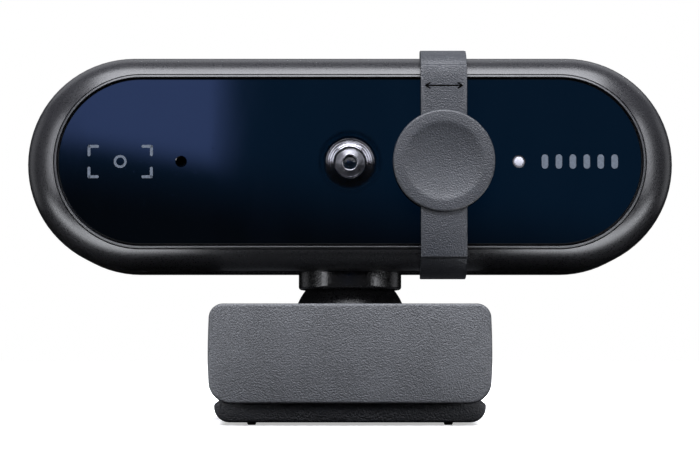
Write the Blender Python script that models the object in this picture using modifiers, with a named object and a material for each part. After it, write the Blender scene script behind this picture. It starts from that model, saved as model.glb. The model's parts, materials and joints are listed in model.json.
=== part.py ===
"""Clip-on webcam: a pill-shaped head with a sliding lens cover, on a swivel neck and a folding screen clip.

Metres, +Z up, +X to the right of someone facing the camera, -Y towards the person being filmed.
The origin is on the desk, under the neck's pan axis.
"""

import math

import bmesh
import bpy
from mathutils import Matrix, Vector

MM = 0.001
ANCHOR_SIZE = 5 * MM  # drawn size of an empty on a joint's axis
GAP = 0.3 * MM                       # clearance between pieces that touch, seat or run on each other

# ---- clip bracket and folding leg ----
LIP_AHEAD = 1.3 * MM                 # lip's back face ahead of the head's front
FOOT_HEIGHT = 0.45 * MM              # how far the feet stand out below the leg
LEG_HALF_WIDTH = 19.95 * MM
LEG_BASE_THICKNESS = 2.85 * MM
LEG_WALL_THICKNESS = 2.6 * MM
LEG_CORNER = 2.3 * MM
LEG_SETBACK = 1.4 * MM               # lip's back face to the leg's front edge
LIP_HALF_WIDTH = 20.7 * MM
LIP_HEIGHT = 14.6 * MM
LIP_THICKNESS = 2.2 * MM
LIP_EDGE = 0.35 * MM
LIP_TOP_CORNER = 2.0 * MM
LIP_BOTTOM_CORNER = 3.15 * MM
LIP_RISE = 2.5 * MM                  # lip's top edge above the web
WEB_THICKNESS = 3.0 * MM
HINGE_RADIUS = 2.7 * MM
HINGE_DROP = 0.5 * MM                # hinge axis below the web's underside
HINGE_PIN_RADIUS = 1.0 * MM
HINGE_WASHER_THICKNESS = 0.6 * MM
EAR_WIDTH = 3.85 * MM
PAD_THICKNESS = 0.9 * MM
PAD_EDGE = 0.2 * MM
PAD_POCKET_DEPTH = 0.8 * MM
PAD_HALF_WIDTH = 16.5 * MM
LIP_PAD_HEIGHT = 6.4 * MM
LEG_PAD_DEPTH = 7.5 * MM
LEG_PAD_INSET = 1.6 * MM             # leg's front edge to the pad
FOOT_RADIUS = 1.3 * MM
FOOT_FLAT_RADIUS = 0.5 * MM
FOOT_LENGTH = 1.0 * MM
FOOT_X = 14.5 * MM
FOOT_FRONT_INSET = 3.0 * MM
FOOT_REAR_INSET = 4.6 * MM

# ---- swivel neck ----
DOME_RADIUS = 8.6 * MM
DOME_WALL = 1.5 * MM
DOME_SINK = 1.2 * MM                 # the ball's centre below the dome's base
DOME_FLOOR = 1.0 * MM
SKIRT_RADIUS = 5.7 * MM
SKIRT_WALL = 1.0 * MM
PAN_LEDGE = 1.0 * MM                 # web left above the retainer's counterbore
PAN_WASHER_THICKNESS = 0.4 * MM
RETAINER_FLANGE = 0.7 * MM
RETAINER_RADIUS = 7.4 * MM
SLOT_HALF_WIDTH = 2.2 * MM
TILT_DOWN = math.radians(15.0)       # the head's limits, from level
TILT_UP = math.radians(25.0)
HEAD_LEAN = math.radians(2.0)        # how far the head leans back as it stands
TONGUE_HALF_DEPTH = 1.8 * MM
COLLAR_MOUTH_WALL = 0.7 * MM
COLLAR_OVER_CENTRE = 5.38 * MM       # collar's mouth above the ball's centre
COLLAR_SHOW = 2.5 * MM            # collar's length below the head
COLLAR_EDGE = 0.3 * MM
COLLAR_TO_HOOKS = 0.5 * MM           # collar's front to the sliding cover's hooks
FLANGE_MARGIN = 1.8 * MM             # neck screw's axis to the flange's end
FLANGE_HALF_DEPTH = 6.5 * MM
FLANGE_THICKNESS = 1.2 * MM
NECK_PAD_THICKNESS = 1.0 * MM
NECK_SCREW_OFFSET = 2.0 * MM         # collar's side to the neck screw's axis
STEM_RADIUS = 1.0 * MM
STEM_HEAD_RADIUS = 2.2 * MM
STEM_HEAD_THICKNESS = 0.7 * MM
SADDLE_THICKNESS = 1.2 * MM
SADDLE_HALF_WIDTH = 3.0 * MM
SPRING_WASHER_THICKNESS = 0.3 * MM
SPRING_WASHER_RADIUS = 2.4 * MM
STEM_WASHER_THICKNESS = 0.4 * MM
NUT_THICKNESS = 1.2 * MM
NUT_RADIUS = 2.3 * MM

# ---- camera head ----
BODY_HALF_LENGTH = 48.0 * MM
BODY_HALF_HEIGHT = 15.85 * MM
BODY_DEPTH = 26.5 * MM
BODY_WALL = 1.6 * MM
RIM_SIDE_WIDTH = 2.75 * MM           # housing rim in front view, above and below the bezel
RIM_END_WIDTH = 4.15 * MM            # the same at the rounded ends
RIM_DEPTH = 6.0 * MM                 # rim's inner edge to the head's widest section
RIM_START = math.radians(25.0)       # where round the rim's quarter ellipse its inner edge lies
RIM_SETBACK = 0.3 * MM
REAR_ROUND_DEPTH = 6.0 * MM
REAR_ROUND_SIDE = 5.0 * MM
REAR_ROUND_END = 8.0 * MM
BEZEL_LIP = 0.33 * MM
BEZEL_EDGE = 0.15 * MM
BEZEL_SKIRT_WALL = 1.2 * MM
BEZEL_DEPTH = 5.3 * MM
BEZEL_FLOOR = 1.2 * MM
WINDOW_SETBACK = 0.2 * MM
WINDOW_THICKNESS = 0.9 * MM
GASKET_THICKNESS = 0.4 * MM
GASKET_WIDTH = 1.3 * MM
BOSS_RADIUS = 2.0 * MM
BOSS_INSET = 4.9 * MM                # bezel's edge to the boss's axis
SCREW_HEAD_RADIUS = 1.6 * MM
RECESS_WALL = 0.9 * MM  # round the recess of a housing screw's head
SCREW_HEAD_THICKNESS = 1.2 * MM
SCREW_RADIUS = 0.8 * MM
SCREW_ENGAGEMENT = 3.7 * MM
HOUSING_SCREW_SEAT_DEPTH = 9.5 * MM  # head's back face to the screw's seat
BOARD_SETBACK = 10.4 * MM            # bezel's front to the board's front
BOARD_THICKNESS = 1.0 * MM
BOARD_TOP_INSET = 2.9 * MM
BOARD_END_GAP = 2.0 * MM
BOARD_POST_RADIUS = 1.5 * MM
BOARD_POST_X = 19.5 * MM
BOARD_POST_INSET = 2.8 * MM
BOARD_SCREW_RADIUS = 0.6 * MM
BOARD_SCREW_HEAD_RADIUS = 1.2 * MM
BOARD_SCREW_HEAD_THICKNESS = 0.8 * MM
EDGE_PART_INSET = 2.9 * MM           # board's end to the microphone and to the lamp
MIC_HOLE_RADIUS = 0.76 * MM
MIC_BOOT_RADIUS = 2.1 * MM
LAMP_RADIUS = 0.7 * MM
LAMP_GUIDE_RADIUS = 1.3 * MM
LENS_SHROUD_RADIUS = 4.0 * MM
LENS_CONE_RADIUS = 3.6 * MM
LENS_CONE_RISE = 0.8 * MM            # how far the cone round the lens rises towards its nose
LENS_SHROUD_RIM = 0.9 * MM
LENS_LIP = 0.3 * MM  # the nose's lip over its front glass
LENS_GLASS_DEPTH = 1.0 * MM
LENS_REAR_STEP = 0.5 * MM
LENS_REAR_DEPTH = 1.2 * MM
LENS_HOLDER_EDGE = 0.4 * MM
SENSOR_THICKNESS = 0.7 * MM
SENSOR_WIDTH = 6.0 * MM
SENSOR_HEIGHT = 5.0 * MM
FILTER_THICKNESS = 0.3 * MM
FILTER_SIZE = 5.0 * MM
LENS_NOSE_RADIUS = 2.2 * MM
LENS_NOSE_SETBACK = 1.7 * MM         # bezel's front to the nose of the lens
LENS_THREAD_RADIUS = 2.8 * MM
LENS_BORE_RADIUS = 1.8 * MM
LENS_PUPIL_RADIUS = 1.1 * MM
LENS_HOLDER_SIZE = 9.0 * MM
LENS_HOLDER_DEPTH = 5.4 * MM
SENSOR_POCKET_SIZE = 7.4 * MM
SENSOR_POCKET_DEPTH = 1.6 * MM
GLAND_FLANGE_RADIUS = 3.6 * MM
GLAND_TAPER = 0.6 * MM
GLAND_NECK_RADIUS = 2.5 * MM
GLAND_BORE_RADIUS = 1.75 * MM
GLAND_FLANGE_THICKNESS = 1.0 * MM
VENT_WIDTH = 1.1 * MM
VENT_HEIGHT = 9.0 * MM
VENT_PITCH = 2.6 * MM
VENT_FIRST_X = 12.0 * MM
VENTS_PER_SIDE = 5

# ---- sliding lens cover ----
COVER_X = 13.8 * MM               # where the cover stands when the lens is open
COVER_HALF_WIDTH = 3.4 * MM
COVER_THICKNESS = 0.9 * MM
COVER_DISC_RADIUS = 7.5 * MM
COVER_DISC_RAISE = 0.6 * MM
COVER_DISC_EDGE = 0.25 * MM
COVER_DISH_RADIUS = 5.65 * MM
COVER_DISH_DEPTH = 0.6 * MM
COVER_BEND = math.radians(33.0)       # where round the rim the strap's flat front ends
COVER_HOOK_LENGTH = 1.0 * MM
GROOVE_DEPTH = 0.7 * MM
GROOVE_END_MARGIN = 1.0 * MM

# ---- facets ----
END_STEPS = 18                       # facets round half an end of the head
RIM_STEPS = 5
REAR_STEPS = 4
FINE_STEPS = 36
SMALL_STEPS = 20
SCREW_STEPS = 12

# ---- places worked out from the sizes above ----
SOCKET_RADIUS = DOME_RADIUS + GAP
COLLAR_RADIUS = math.sqrt(SOCKET_RADIUS ** 2 - COLLAR_OVER_CENTRE ** 2) + COLLAR_MOUTH_WALL
NECK_SCREW_X = COLLAR_RADIUS + NECK_SCREW_OFFSET
FLANGE_HALF_LENGTH = NECK_SCREW_X + FLANGE_MARGIN
WIDEST_Y = -(COLLAR_RADIUS + COLLAR_TO_HOOKS + COVER_HOOK_LENGTH)
RIM_Y = WIDEST_Y - RIM_DEPTH
FRONT_Y = RIM_Y - RIM_SETBACK

BASE_TOP = FOOT_HEIGHT + LEG_BASE_THICKNESS
LIP_BOTTOM = BASE_TOP
LIP_TOP = LIP_BOTTOM + LIP_HEIGHT
LIP_BACK_Y = FRONT_Y - LIP_AHEAD
LIP_FRONT_Y = LIP_BACK_Y - LIP_THICKNESS
CLIP_HALF_DEPTH = -LIP_FRONT_Y
LEG_FRONT_Y = LIP_BACK_Y + LEG_SETBACK
LEG_REAR_Y = CLIP_HALF_DEPTH
WEB_TOP = LIP_TOP - LIP_RISE
WEB_BOTTOM = WEB_TOP - WEB_THICKNESS
HINGE_Y = LEG_REAR_Y - HINGE_RADIUS
HINGE_Z = WEB_BOTTOM - HINGE_DROP
EAR_INNER_X = LEG_HALF_WIDTH - EAR_WIDTH
BARREL_HALF_LENGTH = EAR_INNER_X - HINGE_WASHER_THICKNESS - 2 * GAP
WEB_REAR_Y = HINGE_Y - HINGE_RADIUS - 2 * GAP
HINGE_BORE_RADIUS = HINGE_PIN_RADIUS + GAP

DOME_BASE_Z = WEB_TOP + GAP
BALL_Z = DOME_BASE_Z - DOME_SINK
DOME_INNER_RADIUS = DOME_RADIUS - DOME_WALL
PAN_BORE_RADIUS = SKIRT_RADIUS + GAP
COUNTERBORE_TOP = WEB_TOP - PAN_LEDGE
RETAINER_TOP = COUNTERBORE_TOP - PAN_WASHER_THICKNESS - 2 * GAP
SKIRT_BOTTOM = RETAINER_TOP + GAP
COLLAR_BOTTOM = BALL_Z + COLLAR_OVER_CENTRE
BODY_BOTTOM = COLLAR_BOTTOM + COLLAR_SHOW
BODY_Z = BODY_BOTTOM + BODY_HALF_HEIGHT
NECK_PAD_TOP = BODY_BOTTOM + BODY_WALL + NECK_PAD_THICKNESS
FLANGE_BOTTOM = NECK_PAD_TOP + GAP
FLANGE_TOP = FLANGE_BOTTOM + FLANGE_THICKNESS
NUT_TOP = FLANGE_TOP + GAP + NUT_THICKNESS
SADDLE_RADIUS = DOME_INNER_RADIUS - GAP
STEM_HOLE_RADIUS = STEM_RADIUS + GAP

RIM_ROUND_SIDE = RIM_SIDE_WIDTH / (1 - math.sin(RIM_START))
RIM_ROUND_END = RIM_END_WIDTH / (1 - math.sin(RIM_START))
RIM_ROUND_DEPTH = RIM_DEPTH / math.cos(RIM_START)
BACK_Y = FRONT_Y + BODY_DEPTH
BEZEL_RADIUS = BODY_HALF_HEIGHT - RIM_SIDE_WIDTH - GAP
BEZEL_HALF_LENGTH = BODY_HALF_LENGTH - RIM_END_WIDTH - GAP
BEZEL_STRAIGHT = BEZEL_HALF_LENGTH - BEZEL_RADIUS
BEZEL_BACK_Y = FRONT_Y + BEZEL_DEPTH
WINDOW_RADIUS = BEZEL_RADIUS - BEZEL_LIP - GAP
WINDOW_FRONT_Y = FRONT_Y + WINDOW_SETBACK
WINDOW_BACK_Y = WINDOW_FRONT_Y + WINDOW_THICKNESS
GASKET_FRONT_Y = WINDOW_BACK_Y + GAP
FLOOR_FRONT_Y = GASKET_FRONT_Y + GASKET_THICKNESS + GAP
FLOOR_BACK_Y = FLOOR_FRONT_Y + BEZEL_FLOOR
BOARD_FRONT_Y = FRONT_Y + BOARD_SETBACK
BOARD_BACK_Y = BOARD_FRONT_Y + BOARD_THICKNESS
BOSS_X = BEZEL_STRAIGHT + BOSS_RADIUS / 2
BOSS_Z = BEZEL_RADIUS - BOSS_INSET
BOARD_HALF_LENGTH = BOSS_X - BOSS_RADIUS - BOARD_END_GAP
BOARD_TOP = BODY_Z + BEZEL_RADIUS - BOARD_TOP_INSET
BOARD_BOTTOM = NUT_TOP + 2 * GAP
BOARD_PARTS_X = BOARD_HALF_LENGTH - EDGE_PART_INSET
# name: look, size in mm (x, y, z), and place in mm from the board's centre (x, z)
BOARD_BACK_PARTS = {
    "video_processor": ("chip_black", (9.0, 1.2, 9.0), (-7.0, 2.0)),
    "memory_chip": ("chip_black", (5.0, 0.9, 6.5), (3.0, 2.0)),
    "crystal_oscillator": ("steel", (3.2, 0.8, 2.4), (-7.0, -6.0)),
    "cable_connector": ("nylon", (7.5, 4.2, 4.5), (11.5, 3.5)),
}
# name: look, size in mm (x, y, z), and which side of the lens it sits on
BOARD_FRONT_PARTS = {
    "microphone": ("steel", (3.8, 1.0, 3.0), -1),
    "status_led": ("lamp_white", (1.6, 0.9, 1.6), 1),
}
HOUSING_SCREW_SEAT_Y = BACK_Y - HOUSING_SCREW_SEAT_DEPTH
BOSS_MEET_Y = BOARD_FRONT_Y - 1.5 * MM
COVER_BACK_Y = FRONT_Y - GAP
COVER_FRONT_Y = COVER_BACK_Y - COVER_THICKNESS

# where each body's anchor stands while the head is level
BODIES = {
    "clip": (0.0, 0.0, WEB_TOP),
    "leg": (0.0, HINGE_Y, HINGE_Z),
    "turret": (0.0, 0.0, DOME_BASE_Z),
    "head": (0.0, 0.0, BALL_Z),
    "cover": (COVER_X, 0.0, BODY_Z),
}


# ---- scene set-up ----

def clear_scene():
    """Empty the scene, so that the script can be run again."""
    for old in list(bpy.data.objects):
        bpy.data.objects.remove(old, do_unlink=True)


def new_collection(name):
    """Make a collection under the scene's own."""
    collection = bpy.data.collections.new(name)
    bpy.context.scene.collection.children.link(collection)
    return collection


def finish(name, colour, roughness, metallic=0.0):
    """Make a material from a colour, a roughness and a metallic value."""
    material = bpy.data.materials.new(name)
    material.use_nodes = True
    shader = material.node_tree.nodes["Principled BSDF"]
    shader.inputs["Base Color"].default_value = (*colour, 1.0)
    shader.inputs["Roughness"].default_value = roughness
    shader.inputs["Metallic"].default_value = metallic
    return material


clear_scene()
WEBCAM = new_collection("clip_on_webcam")
CUTTERS = new_collection("cutters")
FINISHES = {
    "soft_black": finish("soft_black", (0.03, 0.03, 0.034), 0.45),
    "grained_grey": finish("grained_grey", (0.07, 0.073, 0.08), 0.6),
    "satin_black": finish("satin_black", (0.02, 0.02, 0.022), 0.4),
    "tinted_glass": finish("tinted_glass", (0.01, 0.015, 0.03), 0.05),
    "lens_glass": finish("lens_glass", (0.05, 0.05, 0.08), 0.03),
    "rubber": finish("rubber", (0.02, 0.02, 0.02), 0.9),
    "steel": finish("steel", (0.6, 0.6, 0.62), 0.35, 1.0),
    "board_green": finish("board_green", (0.02, 0.12, 0.06), 0.5),
    "chip_black": finish("chip_black", (0.015, 0.015, 0.016), 0.5),
    "lamp_white": finish("lamp_white", (0.85, 0.87, 0.9), 0.3),
    "nylon": finish("nylon", (0.55, 0.55, 0.5), 0.5),
}


def make_anchors():
    """Make one empty for each body, on its joint's axis; the head's leans back and carries the cover's."""
    anchors = {}
    for body, place in BODIES.items():
        anchor = bpy.data.objects.new("anchor_" + body, None)
        anchor.location = place
        anchor.empty_display_size = ANCHOR_SIZE
        WEBCAM.objects.link(anchor)
        anchors[body] = anchor
    anchors["head"].rotation_euler.x = -HEAD_LEAN
    anchors["cover"].parent = anchors["head"]
    anchors["cover"].location = Vector(BODIES["cover"]) - Vector(BODIES["head"])
    return anchors


ANCHORS = make_anchors()


# ---- shapes: each function returns an object that is in no collection yet ----

def shape_from(bm, name):
    """Close a bmesh into an object."""
    bmesh.ops.recalc_face_normals(bm, faces=bm.faces)
    mesh = bpy.data.meshes.new(name)
    bm.to_mesh(mesh)
    bm.free()
    mesh.shade_smooth()
    mesh.set_sharp_from_angle(angle=math.radians(35.0))
    return bpy.data.objects.new(name, mesh)


def box(size):
    """Make a box of the given X, Y and Z size about its own origin."""
    bm = bmesh.new()
    bmesh.ops.create_cube(bm, size=1.0, matrix=Matrix.Diagonal((*size, 1.0)))
    return shape_from(bm, "box")


def rod(radius, length, axis="Z", steps=SMALL_STEPS):
    """Make a cylinder about its own origin, along X, Y or Z."""
    turn = {
        "X": Matrix.Rotation(math.pi / 2, 4, "Y"),
        "Y": Matrix.Rotation(math.pi / 2, 4, "X"),
        "Z": Matrix.Identity(4),
    }[axis]
    bm = bmesh.new()
    bmesh.ops.create_cone(
        bm, cap_ends=True, segments=steps, radius1=radius, radius2=radius, depth=length, matrix=turn
    )
    return shape_from(bm, "rod")


def turned(profile, steps=SMALL_STEPS):
    """Turn a (radius, height) profile about Z; it runs down its outer side, and a ring's is closed."""
    count = len(profile)
    edges = [(i, i + 1) for i in range(count - 1)]
    if profile[0][0] > 0:
        edges.append((count - 1, 0))
    mesh = bpy.data.meshes.new("turned")
    mesh.from_pydata([(radius, 0.0, height) for radius, height in profile], edges, [])
    shape = bpy.data.objects.new("turned", mesh)
    screw = shape.modifiers.new("Turn", "SCREW")
    screw.axis = "Z"
    screw.angle = math.tau
    screw.steps = steps
    screw.render_steps = steps
    screw.use_merge_vertices = True
    screw.merge_threshold = 0.00001
    return shape


def facing_front(shape):
    """Turn a shape so that its own +Z looks to the front, along -Y."""
    shape.rotation_euler = (math.pi / 2, 0.0, 0.0)
    return shape


def facing_right(shape):
    """Turn a flat shape so that its own X and Y become Y and Z, and its thickness lies along X."""
    shape.rotation_euler = (math.pi / 2, 0.0, math.pi / 2)
    return shape


def plate(outlines, thickness):
    """Make a flat solid from closed outlines in its own XY plane, centred on its thickness."""
    curve = bpy.data.curves.new("plate", "CURVE")
    curve.dimensions = "2D"
    curve.fill_mode = "BOTH"
    curve.extrude = thickness / 2
    for outline in outlines:
        spline = curve.splines.new("POLY")
        spline.points.add(len(outline) - 1)
        for point, (x, y) in zip(spline.points, outline):
            point.co = (x, y, 0.0, 1.0)
        spline.use_cyclic_u = True
    drawn = bpy.data.objects.new("plate", curve)
    CUTTERS.objects.link(drawn)
    graph = bpy.context.evaluated_depsgraph_get()
    mesh = bpy.data.meshes.new_from_object(drawn.evaluated_get(graph))
    bpy.data.objects.remove(drawn, do_unlink=True)
    bm = bmesh.new()
    bm.from_mesh(mesh)
    bmesh.ops.remove_doubles(bm, verts=bm.verts, dist=0.000001)
    return shape_from(bm, "plate")


def lofted(rings):
    """Skin a stack of stadium rings, each (half length, radius, y), and close both ends."""
    bm = bmesh.new()
    rows = []
    for half_length, radius, y in rings:
        outline = stadium(half_length - radius, radius)
        rows.append([bm.verts.new((x, y, z)) for x, z in outline])
    for near, far in zip(rows, rows[1:]):
        for i in range(len(near)):
            bm.faces.new((near[i - 1], near[i], far[i], far[i - 1]))
    bm.faces.new(rows[0])
    bm.faces.new(rows[-1])
    return shape_from(bm, "lofted")


# ---- outlines ----

def arc(centre, radius, start, end, steps):
    """Points along an arc, angles in radians from the first axis."""
    angles = [start + (end - start) * i / steps for i in range(steps + 1)]
    return [(centre[0] + radius * math.cos(a), centre[1] + radius * math.sin(a)) for a in angles]


def stadium(straight, radius):
    """Outline with two half-round ends, its straight sides along the first axis."""
    right = arc((straight, 0.0), radius, -math.pi / 2, math.pi / 2, END_STEPS)
    left = arc((-straight, 0.0), radius, math.pi / 2, 3 * math.pi / 2, END_STEPS)
    return right + left


def rounded(corners, steps=5):
    """Outline through right-angled corners (x, y, radius), given anticlockwise."""
    points = []
    count = len(corners)
    for i, (x, y, radius) in enumerate(corners):
        corner = Vector((x, y))
        before = (Vector(corners[i - 1][:2]) - corner).normalized()
        after = (Vector(corners[(i + 1) % count][:2]) - corner).normalized()
        if radius == 0:
            points.append((x, y))
            continue
        centre = corner + (before + after) * radius
        start = math.atan2(-after.y, -after.x)
        points += arc(centre, radius, start, start + math.pi / 2, steps)
    return points


# ---- placing, cutting and joining ----

def stand(shape, anchor, place):
    """Stand a shape on its body's anchor, at a place given for a level head."""
    body = anchor.name.removeprefix("anchor_")
    shape.parent = anchor
    shape.location = Vector(place) - Vector(BODIES[body])


def part(shape, name, look, body, place):
    """Name a shape as a sub-part, give it its finish and stand it on its body's anchor."""
    shape.name = name
    shape.data.name = name
    shape.data.materials.append(FINISHES[look])
    WEBCAM.objects.link(shape)
    stand(shape, ANCHORS[body], place)
    return shape


def boolean(target, tool, place, operation):
    """Cut a tool from a target, or join it to the target, at a place given for a level head."""
    stand(tool, target.parent, place)
    tool.name = target.name + "_" + operation.lower()
    CUTTERS.objects.link(tool)
    tool.hide_render = True
    tool.display_type = "WIRE"
    modifier = target.modifiers.new(tool.name, "BOOLEAN")
    modifier.operation = operation
    modifier.solver = "EXACT"
    modifier.object = tool


def cut(target, tool, place):
    """Cut a tool out of a target."""
    boolean(target, tool, place, "DIFFERENCE")


def add(target, tool, place):
    """Join a tool to a target."""
    boolean(target, tool, place, "UNION")


def soften(shape, width, segments=2):
    """Round the sharp edges of a shape."""
    bevel = shape.modifiers.new("Soften", "BEVEL")
    bevel.width = width
    bevel.segments = segments
    bevel.limit_method = "ANGLE"
    bevel.angle_limit = math.radians(50.0)


def middle(low, high):
    """Centre of a span."""
    return (low + high) / 2


# ---- clip bracket and leg ----

def make_clip_bracket():
    """The lip that hangs in front of a screen, the web that rests on it, and the hinge ears."""
    lip_outline = rounded([
        (-LIP_HALF_WIDTH, LIP_BOTTOM, LIP_BOTTOM_CORNER),
        (LIP_HALF_WIDTH, LIP_BOTTOM, LIP_BOTTOM_CORNER),
        (LIP_HALF_WIDTH, LIP_TOP, LIP_TOP_CORNER),
        (-LIP_HALF_WIDTH, LIP_TOP, LIP_TOP_CORNER),
    ])
    lip = facing_front(plate([lip_outline], LIP_THICKNESS))
    soften(lip, LIP_EDGE)
    bracket = part(lip, "clip_bracket", "grained_grey", "clip", (0, middle(LIP_FRONT_Y, LIP_BACK_Y), 0))
    overlap = LIP_THICKNESS / 2
    web_front = LIP_BACK_Y - overlap
    web = box((2 * LEG_HALF_WIDTH, WEB_REAR_Y - web_front, WEB_THICKNESS))
    add(bracket, web, (0, middle(web_front, WEB_REAR_Y), middle(WEB_BOTTOM, WEB_TOP)))
    ear_x = LEG_HALF_WIDTH - EAR_WIDTH / 2
    ear_top = HINGE_Z + HINGE_RADIUS
    arm_front = WEB_REAR_Y - overlap
    for side in (-1, 1):
        arm = box((EAR_WIDTH, HINGE_Y - arm_front, ear_top - WEB_BOTTOM))
        add(bracket, arm, (side * ear_x, middle(arm_front, HINGE_Y), middle(WEB_BOTTOM, ear_top)))
        knuckle = rod(HINGE_RADIUS, EAR_WIDTH, "X")
        add(bracket, knuckle, (side * ear_x, HINGE_Y, HINGE_Z))
    cut(bracket, rod(HINGE_BORE_RADIUS, 3 * LEG_HALF_WIDTH, "X"), (0, HINGE_Y, HINGE_Z))
    cut(bracket, rod(PAN_BORE_RADIUS, 4 * WEB_THICKNESS, steps=FINE_STEPS), (0, 0, WEB_TOP))
    bore_depth = WEB_THICKNESS
    counterbore = rod(RETAINER_RADIUS + 2 * GAP, bore_depth, steps=FINE_STEPS)
    cut(bracket, counterbore, (0, 0, COUNTERBORE_TOP - bore_depth / 2))
    pocket = box((2 * (PAD_HALF_WIDTH + GAP), 2 * PAD_POCKET_DEPTH, LIP_PAD_HEIGHT + 2 * GAP))
    cut(bracket, pocket, (0, LIP_BACK_Y, lip_pad_z()))


def lip_pad_z():
    """Height of the lip pad's centre, halfway between the lip's foot and the web."""
    return middle(LIP_BOTTOM, WEB_BOTTOM)


def make_pads():
    """Rubber pads that grip the screen, set in pockets of the lip and of the leg."""
    pad_front = LIP_BACK_Y - PAD_POCKET_DEPTH + GAP
    lip_pad = box((2 * PAD_HALF_WIDTH, PAD_THICKNESS, LIP_PAD_HEIGHT))
    soften(lip_pad, PAD_EDGE, 1)
    part(lip_pad, "lip_pad", "rubber", "clip", (0, pad_front + PAD_THICKNESS / 2, lip_pad_z()))
    pad_bottom = BASE_TOP - PAD_POCKET_DEPTH + GAP
    leg_pad = box((2 * PAD_HALF_WIDTH, LEG_PAD_DEPTH, PAD_THICKNESS))
    soften(leg_pad, PAD_EDGE, 1)
    part(leg_pad, "leg_pad", "rubber", "leg", (0, leg_pad_y(), pad_bottom + PAD_THICKNESS / 2))


def leg_pad_y():
    """Place of the leg pad's centre along Y."""
    return LEG_FRONT_Y + LEG_PAD_INSET + LEG_PAD_DEPTH / 2


def foot_places():
    """Name and (x, y) of each foot."""
    front = LEG_FRONT_Y + FOOT_FRONT_INSET
    rear = LEG_REAR_Y - FOOT_REAR_INSET
    return {
        "foot_front_left": (-FOOT_X, front),
        "foot_front_right": (FOOT_X, front),
        "foot_rear_left": (-FOOT_X, rear),
        "foot_rear_right": (FOOT_X, rear),
    }


def make_clip_leg():
    """The folding leg: a base plate that stands on the desk, a rear wall and the hinge barrel."""
    wall_top = HINGE_Z - HINGE_RADIUS - GAP
    wall_front = LEG_REAR_Y - LEG_WALL_THICKNESS
    cross_section = rounded([
        (-LEG_HALF_WIDTH, FOOT_HEIGHT, LEG_CORNER),
        (LEG_HALF_WIDTH, FOOT_HEIGHT, LEG_CORNER),
        (LEG_HALF_WIDTH, BASE_TOP, 0),
        (-LEG_HALF_WIDTH, BASE_TOP, 0),
    ])
    base = facing_front(plate([cross_section], LEG_REAR_Y - LEG_FRONT_Y))
    leg = part(base, "clip_leg", "grained_grey", "leg", (0, middle(LEG_FRONT_Y, LEG_REAR_Y), 0))
    wall_bottom = BASE_TOP - GAP
    wall = box((2 * LEG_HALF_WIDTH, LEG_WALL_THICKNESS, wall_top - wall_bottom))
    add(leg, wall, (0, middle(wall_front, LEG_REAR_Y), middle(wall_bottom, wall_top)))
    overlap = LEG_WALL_THICKNESS / 2
    bridge_bottom = wall_top - overlap
    bridge = box((2 * BARREL_HALF_LENGTH, LEG_WALL_THICKNESS, HINGE_Z - bridge_bottom))
    add(leg, bridge, (0, middle(wall_front, LEG_REAR_Y), middle(bridge_bottom, HINGE_Z)))
    add(leg, rod(HINGE_RADIUS, 2 * BARREL_HALF_LENGTH, "X"), (0, HINGE_Y, HINGE_Z))
    cut(leg, rod(HINGE_BORE_RADIUS, 3 * LEG_HALF_WIDTH, "X"), (0, HINGE_Y, HINGE_Z))
    pocket = box((2 * (PAD_HALF_WIDTH + GAP), LEG_PAD_DEPTH + 2 * GAP, 2 * PAD_POCKET_DEPTH))
    cut(leg, pocket, (0, leg_pad_y(), BASE_TOP))
    socket_depth = FOOT_LENGTH - FOOT_HEIGHT + GAP
    for x, y in foot_places().values():
        cut(leg, rod(FOOT_RADIUS + GAP, 2 * socket_depth, steps=SCREW_STEPS), (x, y, FOOT_HEIGHT))


def make_feet():
    """Four small domed rubber feet."""
    for name, (x, y) in foot_places().items():
        profile = [
            (0.0, FOOT_LENGTH),
            (FOOT_RADIUS, FOOT_LENGTH),
            (FOOT_RADIUS, FOOT_HEIGHT),
            (FOOT_FLAT_RADIUS + 0.6 * (FOOT_RADIUS - FOOT_FLAT_RADIUS), FOOT_HEIGHT / 4),
            (FOOT_FLAT_RADIUS, 0.0),
            (0.0, 0.0),
        ]
        part(turned(profile, SCREW_STEPS), name, "rubber", "leg", (x, y, 0))


def make_leg_hinge():
    """The hinge pin and the two friction washers beside the barrel."""
    pin_half_length = LEG_HALF_WIDTH - GAP
    pin = rod(HINGE_PIN_RADIUS, 2 * pin_half_length, "X")
    part(pin, "leg_hinge_pin", "steel", "clip", (0, HINGE_Y, HINGE_Z))
    for side, label in ((-1, "left"), (1, "right")):
        x = side * (EAR_INNER_X - GAP - HINGE_WASHER_THICKNESS / 2)
        washer = ring(HINGE_BORE_RADIUS, HINGE_RADIUS - GAP, HINGE_WASHER_THICKNESS)
        washer.rotation_euler = (0.0, math.pi / 2, 0.0)
        part(washer, "hinge_washer_" + label, "nylon", "clip", (x, HINGE_Y, HINGE_Z))


def ring(inner, outer, thickness, steps=SMALL_STEPS):
    """A flat washer about its own origin."""
    top = thickness / 2
    return turned([(inner, top), (outer, top), (outer, -top), (inner, -top)], steps)


# ---- swivel neck ----

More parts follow.
